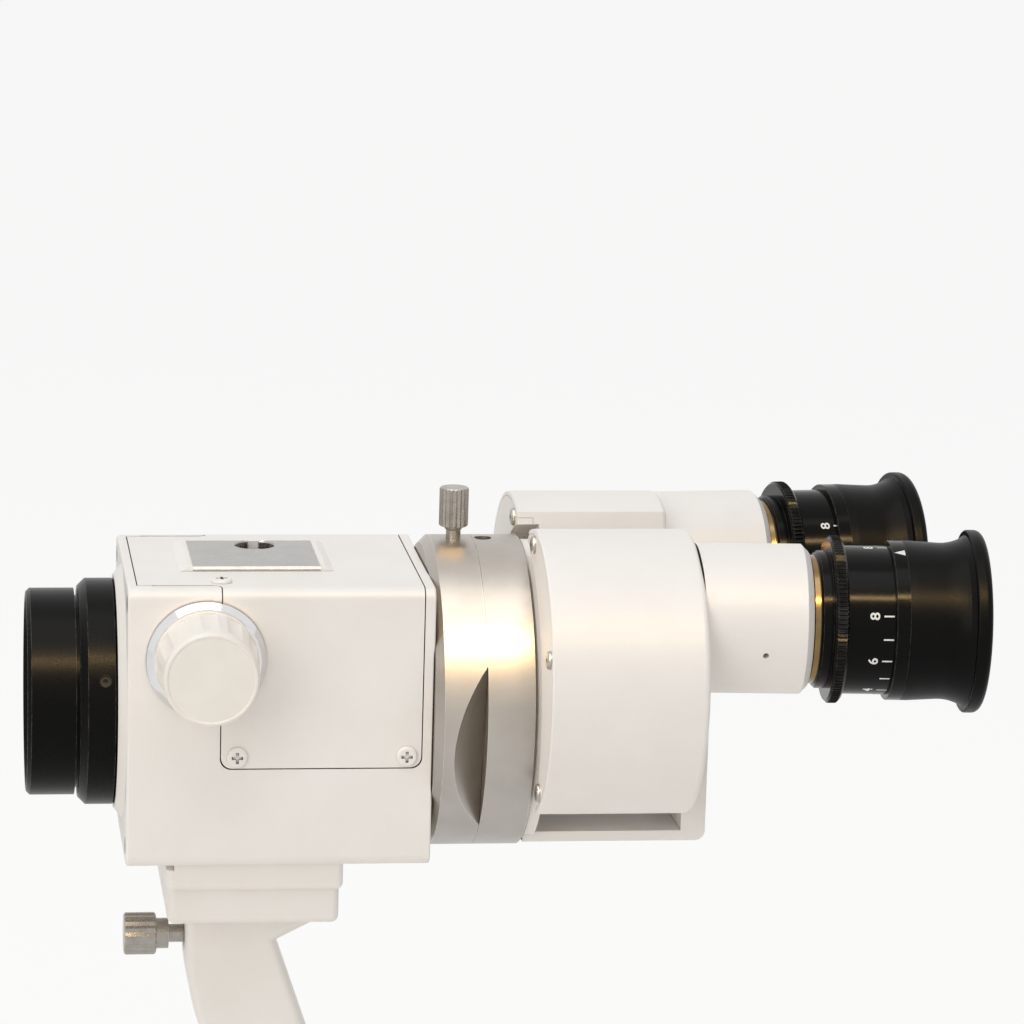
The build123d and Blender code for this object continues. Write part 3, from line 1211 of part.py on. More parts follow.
def lock_screw():
    """Thumb screw in the front of the arm: ribbed head, collar and thread."""
    tip = SPIGOT_PIN_X - SPIGOT_PIN_R + LOCK_GROOVE - 3.6
    collar_end = ARM_FRONT - 4.3
    head_end = collar_end - LOCK_COLLAR_T
    screw = rod_x(collar_end, tip, LOCK_R, 0, LOCK_SCREW_Z)
    screw += rod_x(head_end, collar_end, LOCK_COLLAR_R, 0, LOCK_SCREW_Z)
    grip = ribbed(LOCK_HEAD_R, LOCK_HEAD_T, LOCK_RIBS, RIB_DEPTH)
    return screw + Pos(head_end, 0, LOCK_SCREW_Z) * Rot(0, -90, 0) * grip


# All nodes

def build_nodes():
    """Dictionary of node names and their solids, in the optical frame."""
    nodes = {
        "objective_barrel": objective_barrel(),
        "objective_lens": objective_lens(),
        "objective_retainer": objective_retainer(),
        "objective_lock_ring": objective_lock_ring(),
        "lock_ring_grubs": lock_ring_grubs(),
        "front_plate": front_plate(),
        "front_plate_screws": front_plate_screws(),
        "body_casting": body_casting(),
        "top_cover": top_cover(),
        "cover_screws": cover_screws(),
        "accessory_plate": accessory_plate(),
        "changer_frame": changer_frame(),
        "changer_bushes": changer_bushes(),
        "changer_drum": changer_drum(),
        "drum_lenses": drum_lenses(),
        "drum_gear": drum_gear(),
        "knob_shaft": knob_shaft(),
        "knob_skirts": knob_skirts(),
        "knob_caps": knob_caps(),
        "knob_gear": knob_gear(),
        "knob_grubs": knob_grubs(),
        "detent_spring": detent_spring(),
        "detent_ball": detent_ball(),
        "adapter_ring": adapter_ring(),
        "adapter_screws": adapter_screws(),
        "clamp_screw": clamp_screw(),
        "clamp_pad": clamp_pad(),
        "head_ring": head_ring(),
        "ring_grub": ring_grub(),
        "head_bracket": head_bracket(),
        "bracket_screws": bracket_screws(),
        "mounting_foot": mounting_foot(),
        "foot_screws": foot_screws(),
        "arm_casting": arm_casting(),
        "lock_screw": lock_screw(),
        "lock_pad": lock_pad(),
    }
    lenses = tube_lenses()
    for index, (name, side) in enumerate(SIDES.items()):
        nodes[f"{name}_tube_lens"] = lenses[index]
        nodes[f"{name}_prism_housing"] = prism_housing(side)
        nodes[f"{name}_housing_cover"] = housing_cover(side)
        nodes[f"{name}_housing_screws"] = housing_cover_screws(side)
        nodes[f"{name}_swing_gear"] = swing_gear(side)
        nodes[f"{name}_prism"] = prism(side)
        nodes[f"{name}_eyepiece_tube"] = eyepiece_tube(side)
        nodes[f"{name}_eyepiece_barrel"] = eyepiece_barrel(side)
        nodes[f"{name}_dioptre_drum"] = dioptre_drum(side)
        nodes[f"{name}_index_sleeve"] = index_sleeve(name)
        nodes[f"{name}_eyecup"] = eyecup(name)
        nodes[f"{name}_eyepiece_lenses"] = eyepiece_lenses(name)
    return nodes


def as_one(shape):
    """One exportable shape: a list of separate solids becomes a compound."""
    if isinstance(shape, list):
        solids = [solid for item in shape for solid in item.solids()]
        return Compound(children=solids)
    return shape


os.makedirs("parts", exist_ok=True)
for node, shape in build_nodes().items():
    export_step(TO_FOOT * as_one(shape), f"parts/{node}.step")
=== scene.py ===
"""Slit lamp microscope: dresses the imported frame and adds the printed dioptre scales.

The whole scene is in metres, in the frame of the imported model: X runs along the optical axis
towards the examiner, the examiner's left is -Y, and +Z is up.
"""

import logging
import math
from dataclasses import dataclass, field
from enum import Enum
from typing import Any

import bmesh
import bpy
from mathutils import Matrix, Vector


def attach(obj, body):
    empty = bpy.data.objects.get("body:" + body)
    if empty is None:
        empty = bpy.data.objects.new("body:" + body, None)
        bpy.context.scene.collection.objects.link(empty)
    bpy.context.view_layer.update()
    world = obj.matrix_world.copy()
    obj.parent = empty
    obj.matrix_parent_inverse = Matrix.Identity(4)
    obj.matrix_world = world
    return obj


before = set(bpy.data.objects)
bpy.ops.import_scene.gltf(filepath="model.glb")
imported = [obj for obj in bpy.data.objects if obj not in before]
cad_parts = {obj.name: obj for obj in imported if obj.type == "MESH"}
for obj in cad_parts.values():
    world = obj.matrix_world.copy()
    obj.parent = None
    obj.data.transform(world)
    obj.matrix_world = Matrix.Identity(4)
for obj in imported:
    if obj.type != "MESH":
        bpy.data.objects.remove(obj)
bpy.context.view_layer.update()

log = logging.getLogger("slit_lamp")
MM = 0.001
OPTICAL_ORIGIN = Vector((-82.0, 0.0, 168.0)) * MM


def linear(hex_code: str) -> tuple[float, float, float, float]:
    """Turn an sRGB hex colour into the linear colour that a shader takes.

    Args:
        hex_code: Colour as "#rrggbb".

    Returns:
        Linear red, green and blue, and an alpha of 1.
    """
    channels = [int(hex_code[i:i + 2], 16) / 255 for i in (1, 3, 5)]
    curve = [c / 12.92 if c <= 0.04045 else ((c + 0.055) / 1.055) ** 2.4 for c in channels]
    return (curve[0], curve[1], curve[2], 1.0)


def add_node(tree: bpy.types.NodeTree, kind: str, inputs: dict[Any, Any] | None = None,
             **settings: Any) -> bpy.types.Node:
    """Add one node with its settings, values and links.

    Args:
        tree: Node tree that gets the node.
        kind: Blender's name of the node type.
        inputs: Socket name or index to a value, or to another node's output socket.
        **settings: Attributes of the node itself.

    Returns:
        The new node.
    """
    node = tree.nodes.new(kind)
    for name, value in settings.items():
        setattr(node, name, value)
    for key, value in (inputs or {}).items():
        if isinstance(value, bpy.types.NodeSocket):
            tree.links.new(value, node.inputs[key])
        else:
            node.inputs[key].default_value = value
    return node


class Turning(Enum):
    """How a part was turned on the lathe, which sets the direction of its fine lines."""

    NONE = "none"
    OPTICAL = "optical"
    LEFT_EYE = "left_eye"
    RIGHT_EYE = "right_eye"


CONVERGENCE = math.radians(4.36)
TURNING_ANGLE = {Turning.OPTICAL: 0.0, Turning.LEFT_EYE: CONVERGENCE, Turning.RIGHT_EYE: -CONVERGENCE}


@dataclass(frozen=True)
class Finish:
    """One real surface: its colours, its gloss and the fine structure left by its making."""

    name: str
    colour: str
    shade: str
    roughness: float
    grain_mm: float
    bump_mm: float
    metallic: float = 0.0
    patch_mm: float = 18.0
    patch_share: float = 0.5
    roughness_spread: float = 0.08
    ior: float = 1.5
    turning: Turning = Turning.NONE
    line_mm: float = 0.5
    line_depth_mm: float = 0.0
    # The next three fields lighten sharp edges, partly as wear and partly as a painted highlight.
    edge_colour: str = ""
    edge_mm: float = 0.25
    rub_mm: float = 2.5
    # The next two fields paint shade: a dark colour mixed into recesses and narrow gaps, within the given
    # distance.
    grime_colour: str = ""
    grime_mm: float = 1.5

    def build(self) -> bpy.types.Material:
        """Make the material.

        Returns:
            A node material with colour, gloss and relief that vary over the surface.
        """
        material = bpy.data.materials.new(self.name)
        material.use_nodes = True
        tree = material.node_tree
        tree.nodes.clear()
        place = add_node(tree, "ShaderNodeTexCoord").outputs["Object"]
        colour, roughness = self.surface(tree, place)
        shader = add_node(tree, "ShaderNodeBsdfPrincipled", {
            "Base Color": colour, "Roughness": roughness, "Metallic": self.metallic,
            "Normal": self.relief(tree, place),
        })
        if self.metallic < 1.0:
            shader.inputs["IOR"].default_value = self.ior
        add_node(tree, "ShaderNodeOutputMaterial", {"Surface": shader.outputs["BSDF"]})
        material.diffuse_color = linear(self.colour)
        return material

    def surface(self, tree: bpy.types.NodeTree, place: bpy.types.NodeSocket) -> tuple[Any, Any]:
        """Vary colour and roughness in soft patches and fine grain.

        Args:
            tree: The material's node tree.
            place: Position on the object in metres.

        Returns:
            The sockets of the colour and of the roughness.
        """
        patches = add_node(tree, "ShaderNodeTexNoise", {
            "Vector": place, "Scale": 1 / (self.patch_mm * MM), "Detail": 3.0, "Roughness": 0.55,
        })
        grain = add_node(tree, "ShaderNodeTexNoise", {
            "Vector": place, "Scale": 1 / (self.grain_mm * MM), "Detail": 2.0, "Roughness": 0.6,
        })
        share = add_node(tree, "ShaderNodeMapRange", {
            "Value": patches.outputs["Fac"], "From Min": 0.35, "From Max": 0.65, "To Min": 0.0,
            "To Max": self.patch_share,
        })
        fine = add_node(tree, "ShaderNodeMath", {0: grain.outputs["Fac"], 1: 0.3, 2: share.outputs["Result"]},
                        operation="MULTIPLY_ADD", use_clamp=True)
        colour = add_node(tree, "ShaderNodeMix", {
            "Factor": fine.outputs[0], 6: linear(self.colour), 7: linear(self.shade),
        }, data_type="RGBA").outputs[2]
        rough = add_node(tree, "ShaderNodeMapRange", {
            "Value": grain.outputs["Fac"], "From Min": 0.3, "From Max": 0.7,
            "To Min": self.roughness - self.roughness_spread,
            "To Max": self.roughness + self.roughness_spread,
        }).outputs["Result"]
        # Sharp edges get lighter, partly as wear and partly as a painted highlight.
        if self.edge_colour:
            colour = self.worn_edges(tree, place, colour)
        # Recesses and narrow gaps get painted shade.
        if self.grime_colour:
            colour = self.settled_grime(tree, colour)
        return colour, rough

    def settled_grime(self, tree: bpy.types.NodeTree, colour: bpy.types.NodeSocket) -> bpy.types.NodeSocket:
        """Darken screw recesses and narrow gaps with painted shade, a dark colour where their shadow falls.

        Args:
            tree: The material's node tree.
            colour: The colour without the painted shade.

        Returns:
            The socket of the colour with its painted shade.
        """
        openness = add_node(tree, "ShaderNodeAmbientOcclusion", {"Distance": self.grime_mm * MM}, samples=8)
        unshaded = add_node(tree, "ShaderNodeMapRange", {
            "Value": openness.outputs["AO"], "From Min": 0.36, "From Max": 0.58, "To Min": 0.0, "To Max": 1.0,
        })
        return add_node(tree, "ShaderNodeMix", {
            "Factor": unshaded.outputs["Result"], 6: linear(self.grime_colour), 7: colour,
        }, data_type="RGBA").outputs[2]

    def worn_edges(self, tree: bpy.types.NodeTree, place: bpy.types.NodeSocket,
                   colour: bpy.types.NodeSocket) -> bpy.types.NodeSocket:
        """Lighten the colour along sharp edges, partly as wear from handling and partly as a painted
        highlight.

        Args:
            tree: The material's node tree.
            place: Position on the object in metres.
            colour: The colour before its edges are lightened.

        Returns:
            The socket of the colour with lightened edges.
        """
        rounded = add_node(tree, "ShaderNodeBevel", {"Radius": self.edge_mm * MM}, samples=4)
        flat = add_node(tree, "ShaderNodeNewGeometry")
        same = add_node(tree, "ShaderNodeVectorMath", {
            0: rounded.outputs["Normal"], 1: flat.outputs["Normal"],
        }, operation="DOT_PRODUCT")
        breaks = add_node(tree, "ShaderNodeTexNoise", {
            "Vector": place, "Scale": 1 / (self.rub_mm * MM), "Detail": 4.0,
        })
        edge = add_node(tree, "ShaderNodeMapRange", {
            "Value": same.outputs["Value"], "From Min": 0.995, "From Max": 0.93, "To Min": 0.0, "To Max": 1.0,
        })
        broken_up = add_node(tree, "ShaderNodeMapRange", {
            "Value": breaks.outputs["Fac"], "From Min": 0.35, "From Max": 0.65, "To Min": 0.15, "To Max": 0.9,
        })
        amount = add_node(tree, "ShaderNodeMath", {0: edge.outputs["Result"], 1: broken_up.outputs["Result"]},
                          operation="MULTIPLY", use_clamp=True)
        return add_node(tree, "ShaderNodeMix", {
            "Factor": amount.outputs[0], 6: colour, 7: linear(self.edge_colour),
        }, data_type="RGBA").outputs[2]

    def relief(self, tree: bpy.types.NodeTree, place: bpy.types.NodeSocket) -> bpy.types.NodeSocket:
        """Raise the grain, and the lathe's lines where there are any.

        Args:
            tree: The material's node tree.
            place: Position on the object in metres.

        Returns:
            The socket of the surface normal.
        """
        grain = add_node(tree, "ShaderNodeTexNoise", {
            "Vector": place, "Scale": 1 / (self.grain_mm * MM), "Detail": 2.0, "Roughness": 0.5,
        })
        bump = add_node(tree, "ShaderNodeBump", {
            "Height": grain.outputs["Fac"], "Strength": 1.0, "Distance": self.bump_mm * MM,
        })
        if self.turning is Turning.NONE:
            return bump.outputs["Normal"]
        along = add_node(tree, "ShaderNodeMapping", {
            "Vector": place, "Rotation": (0.0, 0.0, TURNING_ANGLE[self.turning]),
        })
        # A wave texture repeats every pi / 10 of its scaled coordinate.
        lines = add_node(tree, "ShaderNodeTexWave", {
            "Vector": along.outputs["Vector"], "Scale": math.pi / 10 / (self.line_mm * MM), "Distortion": 0.4,
            "Detail": 1.0, "Detail Scale": 3.0,
        }, bands_direction="X")
        return add_node(tree, "ShaderNodeBump", {
            "Height": lines.outputs["Fac"], "Strength": 1.0, "Distance": self.line_depth_mm * MM,
            "Normal": bump.outputs["Normal"],
        }).outputs["Normal"]


@dataclass(frozen=True)
class CoatedGlass:
    """Polished optical glass with a thin anti-reflection coating that reflects a faint colour."""

    name: str
    tint: str
    reflection: str
    dust_mm: float = 0.6

    def build(self) -> bpy.types.Material:
        """Make the material.

        Returns:
            Clear glass with a coloured coat and faint dust.
        """
        material = bpy.data.materials.new(self.name)
        material.use_nodes = True
        tree = material.node_tree
        tree.nodes.clear()
        place = add_node(tree, "ShaderNodeTexCoord").outputs["Object"]
        dust = add_node(tree, "ShaderNodeTexNoise", {
            "Vector": place, "Scale": 1 / (self.dust_mm * MM), "Detail": 4.0,
        })
        rough = add_node(tree, "ShaderNodeMapRange", {
            "Value": dust.outputs["Fac"], "From Min": 0.55, "From Max": 0.8, "To Min": 0.01, "To Max": 0.09,
        })
        shader = add_node(tree, "ShaderNodeBsdfPrincipled", {
            "Base Color": linear(self.tint), "Roughness": rough.outputs["Result"], "IOR": 1.52,
            "Transmission Weight": 0.92, "Specular Tint": linear(self.reflection), "Coat Weight": 0.3,
            "Coat Tint": linear(self.reflection), "Coat Roughness": 0.02,
        })
        add_node(tree, "ShaderNodeOutputMaterial", {"Surface": shader.outputs["BSDF"]})
        return material


# An edge colour below lightens sharp edges, partly as wear and partly as a painted highlight.
# Sprayed and stoved enamel on castings and sheet: slightly warm off-white, fine orange peel, low gloss.
# Recesses and narrow gaps of the enamel get painted shade, a dark colour where shadow falls.
ENAMEL = Finish("sprayed_enamel_off_white", "#f1ede9", "#eae5df", 0.46, 0.6, 0.03, patch_mm=30.0,
                roughness_spread=0.05, grime_colour="#1d1915")
# Moulded ABS of the knobs: warmer than the enamel, spark-eroded fine texture.
KNOB_ABS = Finish("moulded_abs_ivory", "#f1ece5", "#e9e3da", 0.42, 0.3, 0.008, patch_mm=9.0)
# Glass-bead blasted and clear anodised aluminium: silky, with a fine even grain that scatters highlights.
BLASTED = Finish("bead_blasted_aluminium", "#b4afa9", "#a39e97", 0.36, 0.22, 0.010, metallic=1.0,
                 patch_mm=14.0, roughness_spread=0.07, edge_colour="#e9e6e0")
# Milled aluminium plate, clear anodised: straight fine lines and a brighter face.
MILLED = Finish("milled_aluminium_plate", "#a9a6a2", "#999693", 0.26, 0.3, 0.004, metallic=1.0, patch_mm=8.0,
                turning=Turning.OPTICAL, line_mm=0.5, line_depth_mm=0.004, edge_colour="#f1f0ee")
# Turned aluminium, black satin anodised, with the tool's fine rings, and edges lightened partly by rubbing
# and partly by a painted highlight. The dyed layer soaks up most of the light, and the low IOR of the black
# finishes keeps their sheen as faint.
BLACK_TURNED = Finish("black_anodised_turned", "#060605", "#0c0b0a", 0.3, 0.25, 0.006, ior=1.17,
                      turning=Turning.OPTICAL, line_mm=0.6, line_depth_mm=0.006, edge_colour="#6f6a64")
# The same anodising on the eyepieces' own axes, polished a little finer.
BLACK_EYE_LEFT = Finish("black_anodised_left_eyepiece", "#050504", "#0a0a09", 0.17, 0.25, 0.0015, ior=1.18,
                        turning=Turning.LEFT_EYE, line_mm=0.6, line_depth_mm=0.003, edge_colour="#5c564e")
BLACK_EYE_RIGHT = Finish("black_anodised_right_eyepiece", "#050504", "#0a0a09", 0.17, 0.25, 0.0015, ior=1.18,
                         turning=Turning.RIGHT_EYE, line_mm=0.6, line_depth_mm=0.003, edge_colour="#5c564e")
# A painted reflection on the barrel: warm gold metal stands in for the golden band that polished black
# reflects, seen as a warm ring in front of the tube.
PAINTED_GOLD_REFLECTION = Finish("barrel_painted_gold_reflection", "#8a7450", "#6e5a3a", 0.2, 0.3, 0.001, metallic=1.0,
                         patch_mm=4.0, roughness_spread=0.04)
# Moulded natural rubber of the eyecups: deep black, soft sheen, dusty in places.
RUBBER = Finish("moulded_rubber_black", "#040404", "#090908", 0.36, 0.35, 0.010, patch_mm=7.0,
                patch_share=0.7, roughness_spread=0.08, ior=1.17)
# Bright chromium plate on the knobs' skirts: mirror gloss, faint polishing haze.
CHROME = Finish("chromium_plate", "#e4e4e4", "#d6d6d8", 0.07, 0.6, 0.0008, metallic=1.0,
                roughness_spread=0.03)
# Nickel plate on the ribbed thumb screws: greyer and softer than chrome.
NICKEL = Finish("nickel_plate", "#a6a19a", "#8e8981", 0.26, 0.3, 0.004, metallic=1.0, patch_mm=3.0,
                edge_colour="#d8d4cc", edge_mm=0.15)
# Bright zinc plated steel of the small screws.
ZINC = Finish("zinc_plated_steel", "#bdbbb6", "#a09d97", 0.28, 0.2, 0.003, metallic=1.0, patch_mm=2.0,
              edge_colour="#dedcd8", edge_mm=0.1)
# Blackened steel of the socket and grub screws.
BLACK_STEEL = Finish("blackened_steel", "#262422", "#34312e", 0.38, 0.2, 0.004, metallic=0.8, patch_mm=2.0)
# Turned brass of gears and pads, slightly tarnished.
BRASS = Finish("turned_brass", "#b8924e", "#97753a", 0.27, 0.3, 0.003, metallic=1.0, patch_mm=5.0)
# Porous sintered bronze of the bushes.
BRONZE = Finish("sintered_bronze", "#8c6a40", "#6f5231", 0.5, 0.25, 0.010, metallic=1.0, patch_mm=3.0)
# Matt black paint that swallows stray light inside the body.
FLOCK_BLACK = Finish("matt_black_lining", "#101010", "#1a1a1a", 0.8, 0.3, 0.010)
# White filling of the engraved scale.
SCALE_WHITE = Finish("white_scale_filling", "#f0eee9", "#dedbd4", 0.5, 0.2, 0.004, patch_mm=2.0)
GLASS = CoatedGlass("coated_optical_glass", "#f4f8f6", "#b9c4e8")
DARK_GLASS = CoatedGlass("coated_eye_lens_glass", "#e6efe8", "#a8d0b0")


class Side(Enum):
    """Side of the examiner; the value starts the names of that side's nodes and bodies."""

    LEFT = "left"
    RIGHT = "right"

    @property
    def sign(self) -> int:
        """Direction of the side along Y."""
        return -1 if self is Side.LEFT else 1


@dataclass
class Wardrobe:
    """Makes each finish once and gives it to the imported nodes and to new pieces."""

    made: dict[str, bpy.types.Material] = field(default_factory=dict)

    def material(self, finish: Finish | CoatedGlass) -> bpy.types.Material:
        """Return a finish's material, made on first use.

        Args:
            finish: The surface that is wanted.

        Returns:
            The material, shared by all that wear it.
        """
        if finish.name not in self.made:
            self.made[finish.name] = finish.build()
        return self.made[finish.name]

    def dress(self, node: str, finish: Finish | CoatedGlass) -> None:
        """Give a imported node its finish.

        Args:
            node: Name of the node in the frame.
            finish: The surface it gets on all its faces.
        """
        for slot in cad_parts[node].material_slots:
            slot.material = self.material(finish)
        log.info("dressed %s in %s", node, finish.name)


@dataclass
class SubAssembly:
    """Pieces that are mounted together, each with the finish of its real surface."""

    wardrobe: Wardrobe
    paint: Finish = ENAMEL
    screws: Finish = BLACK_STEEL

    def finishes(self) -> dict[str, Finish | CoatedGlass]:
        """Return the finish of each node."""
        return {}

    def build(self) -> None:
        """Dress every node of the sub-assembly."""
        for node, finish in self.finishes().items():
            self.wardrobe.dress(node, finish)


@dataclass
class Arm(SubAssembly):
    """Cast arm, the foot on top of it and the thumb screw that holds them together."""

    def finishes(self) -> dict[str, Finish | CoatedGlass]:
        """Choose the finish of each node.

        Returns:
            Node name to finish.
        """
        return {
            "arm_casting": self.paint, "mounting_foot": self.paint, "foot_screws": self.screws,
            "lock_screw": NICKEL, "lock_pad": BRASS,
        }


@dataclass
class Body(SubAssembly):
    """Casting with its front plate, cover and bright accessory plate."""

    def finishes(self) -> dict[str, Finish | CoatedGlass]:
        """Choose the finish of each node.

        Returns:
            Node name to finish.
        """
        return {
            "body_casting": self.paint, "front_plate": self.paint, "top_cover": self.paint,
            "cover_screws": self.paint, "front_plate_screws": self.screws, "accessory_plate": MILLED,
        }


@dataclass
class Objective(SubAssembly):
    """Black barrel with its lens and the bevelled ring that locks it."""

    barrel: Finish = BLACK_TURNED

    def finishes(self) -> dict[str, Finish | CoatedGlass]:
        """Choose the finish of each node.

        Returns:
            Node name to finish.
        """
        return {
            "objective_barrel": self.barrel, "objective_lock_ring": self.barrel,
            "objective_retainer": self.barrel, "objective_lens": GLASS, "lock_ring_grubs": self.screws,
        }


@dataclass
class MagnificationChanger(SubAssembly):
    """Lens drum with its gears, click spring and the two knobs outside."""

    inside: Finish = FLOCK_BLACK
    steel: Finish = ZINC

    def finishes(self) -> dict[str, Finish | CoatedGlass]:
        """Choose the finish of each node.

        Returns:
            Node name to finish.
        """
        return {
            "changer_frame": self.inside, "changer_drum": self.inside, "drum_lenses": GLASS,
            "changer_bushes": BRONZE, "drum_gear": BRASS, "knob_gear": BRASS, "knob_shaft": self.steel,
            "detent_spring": self.steel, "detent_ball": self.steel, "knob_grubs": self.screws,
            "knob_skirts": CHROME, "knob_caps": KNOB_ABS,
        }


@dataclass
class Head(SubAssembly):
    """Silky aluminium rings behind the body, and the bracket that carries the housings."""

    rings: Finish = BLASTED

    def finishes(self) -> dict[str, Finish | CoatedGlass]:
        """Choose the finish of each node.

        Returns:
            Node name to finish.
        """
        return {
            "adapter_ring": self.rings, "head_ring": self.rings, "adapter_screws": self.screws,
            "ring_grub": self.screws, "clamp_screw": NICKEL, "clamp_pad": BRASS,
            "head_bracket": self.paint, "bracket_screws": self.screws,
        }


@dataclass
class Housing(SubAssembly):
    """One swinging prism housing with its cover, prism, gear and tube."""

    side: Side = Side.LEFT

    def finishes(self) -> dict[str, Finish | CoatedGlass]:
        """Choose the finish of each node.

        Returns:
            Node name to finish.
        """
        parts = {
            "prism_housing": self.paint, "housing_cover": self.paint, "housing_screws": ZINC,
            "eyepiece_tube": self.paint, "tube_lens": GLASS, "prism": GLASS, "swing_gear": BRASS,
        }
        return {f"{self.side.value}_{part}": finish for part, finish in parts.items()}


@dataclass
class Eyepiece(SubAssembly):
    """One eyepiece: barrel, dioptre drum, index ring, eyecup and lenses."""

    side: Side = Side.LEFT

    def finishes(self) -> dict[str, Finish | CoatedGlass]:
        """Choose the finish of each node.

        Returns:
            Node name to finish.
        """
        black = {Side.LEFT: BLACK_EYE_LEFT, Side.RIGHT: BLACK_EYE_RIGHT}[self.side]
        parts = {
            "eyepiece_barrel": PAINTED_GOLD_REFLECTION, "dioptre_drum": black, "index_sleeve": black,
            "eyecup": RUBBER, "eyepiece_lenses": DARK_GLASS,
        }
        return {f"{self.side.value}_{part}": finish for part, finish in parts.items()}


@dataclass
class DioptreScale:
    """White figures and marks of one eyepiece: the numbered drum and the index beside it.

    Angles are measured around the eyepiece's axis from the outer side, upwards, in degrees. The
    reading is the number of dioptres that stands at the index when the eyepiece is at rest.
    """

    wardrobe: Wardrobe
    side: Side
    reading: float
    eye_place_mm: tuple[float, float, float] = (200.0, 34.85, 27.8)
    lead_mm: float = 8.0
    drum_radius_mm: float = 19.8
    index_radius_mm: float = 21.3
    index_angle: float = 70.0
    degrees_per_dioptre: float = 18.0
    last_dioptre: int = 8
    tick_start_mm: float = 24.3
    tick_length_mm: float = 2.7
    tick_width_mm: float = 0.42
    figure_centre_mm: float = 21.9
    figure_height_mm: float = 2.5
    figure_spread: float = 1.2
    figure_bold: float = 0.06
    size_per_height: float = 1.42
    ink_mm: float = 0.04
    index_ring_mm: float = 23.9
    index_start_mm: float = 0.4
    index_length_mm: float = 2.9
    index_width_mm: float = 2.5

    def to_frame(self) -> Matrix:
        """Place the eyepiece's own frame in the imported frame.

        Returns:
            The matrix from the eyepiece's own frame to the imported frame.
        """
        x, y, z = self.eye_place_mm
        place = Vector((x, self.side.sign * y, z)) * MM + OPTICAL_ORIGIN
        return Matrix.Translation(place) @ Matrix.Rotation(self.side.sign * CONVERGENCE, 4, "Z")

    def wrapped(self, along_mm: float, around_mm: float, radius_mm: float, angle: float) -> Vector:
        """Return the point at a length along the axis and an arc length around the drum from an angle."""
        turn = math.radians(angle) + around_mm / radius_mm
        return Vector((along_mm, -radius_mm * math.cos(turn), radius_mm * math.sin(turn))) * MM

    def patch(self, mesh: bmesh.types.BMesh, outline: list[tuple[float, float]], radius_mm: float,
              angle: float) -> None:
        """Add a thin raised patch with a straight-sided outline.

        Args:
            mesh: Mesh that gets the patch.
            outline: Corners as distances along and around the drum, in millimetres.
            radius_mm: Radius of the drum.
            angle: Angle of the outline's origin.
        """
        rings = []
        for lift in (-self.ink_mm, self.ink_mm):
            points = [self.wrapped(x, y, radius_mm + lift, angle) for x, y in outline]
            rings.append([mesh.verts.new(point) for point in points])
        mesh.faces.new(rings[1])
        mesh.faces.new(list(reversed(rings[0])))
        count = len(outline)
        for i in range(count):
            j = (i + 1) % count
            mesh.faces.new((rings[0][i], rings[0][j], rings[1][j], rings[1][i]))

    def figure(self, mesh: bmesh.types.BMesh, text: str, angle: float) -> None:
        """Add one figure, with its top towards the objective.

        Args:
            mesh: Mesh that gets the figure.
            text: The digit.
            angle: Angle of its centre on the drum.
        """
        curve = bpy.data.curves.new("figure", "FONT")
        curve.body = text
        curve.size = self.figure_height_mm * self.size_per_height
        curve.align_x = "CENTER"
        curve.align_y = "CENTER"
        curve.extrude = self.ink_mm
        curve.offset = self.figure_bold
        curve.resolution_u = 5
        holder = bpy.data.objects.new("figure", curve)
        flat = bpy.data.meshes.new_from_object(holder)
        start = len(mesh.verts)
        mesh.from_mesh(flat)
        mesh.verts.ensure_lookup_table()
        middle = [(max(v[i] for v in (w.co for w in mesh.verts[start:]))
                   + min(v[i] for v in (w.co for w in mesh.verts[start:]))) / 2 for i in (0, 1)]
        for vertex in mesh.verts[start:]:
            x, y, lift = vertex.co
            around = (x - middle[0]) * self.figure_spread
            along = self.figure_centre_mm - (y - middle[1])
            vertex.co = self.wrapped(along, around, self.drum_radius_mm + lift, angle)
        bpy.data.objects.remove(holder)
        bpy.data.curves.remove(curve)
        bpy.data.meshes.remove(flat)

    def build(self) -> list[bpy.types.Object]:
        """Make the scale on the drum and the index on its sleeve.

        Returns:
            The two pieces.
        """
        end_of_plus = self.index_angle + (self.reading - self.last_dioptre) * self.degrees_per_dioptre
        mesh = bmesh.new()
        for dioptre in range(-self.last_dioptre, self.last_dioptre + 1):
            angle = end_of_plus + (self.last_dioptre - dioptre) * self.degrees_per_dioptre
            start, end = self.tick_start_mm, self.tick_start_mm + self.tick_length_mm
            half = self.tick_width_mm / 2
            self.patch(mesh, [(start, -half), (end, -half), (end, half), (start, half)],
                       self.drum_radius_mm, angle)
            if dioptre % 2 == 0:
                self.figure(mesh, str(abs(dioptre)), angle)
        side = self.side.value
        scale = self.finish_piece(mesh, f"{side}_dioptre_figures", f"{side}_dioptre")
        mesh = bmesh.new()
        tip = self.index_start_mm + self.index_place_mm()
        back = tip + self.index_length_mm
        half = self.index_width_mm / 2
        self.patch(mesh, [(tip, 0.0), (back, -half), (back, half)], self.index_radius_mm, self.index_angle)
        index = self.finish_piece(mesh, f"{side}_index_mark", f"{side}_eye_end")
        return [scale, index]

    def index_place_mm(self) -> float:
        """Return where the index ring starts along the eyepiece at rest."""
        return self.index_ring_mm + self.reading * self.degrees_per_dioptre / 360 * self.lead_mm

    def finish_piece(self, mesh: bmesh.types.BMesh, name: str, body: str) -> bpy.types.Object:
        """Turn a mesh in the eyepiece's frame into a piece that rides on a body.

        Args:
            mesh: The piece's shape.
            name: Name of the piece.
            body: Body that carries it.

        Returns:
            The piece.
        """
        mesh.transform(self.to_frame())
        bmesh.ops.recalc_face_normals(mesh, faces=mesh.faces)
        data = bpy.data.meshes.new(name)
        mesh.to_mesh(data)
        mesh.free()
        data.materials.append(self.wardrobe.material(SCALE_WHITE))
        piece = bpy.data.objects.new(name, data)
        bpy.context.collection.objects.link(piece)
        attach(piece, body)
        log.info("made %s", name)
        return piece


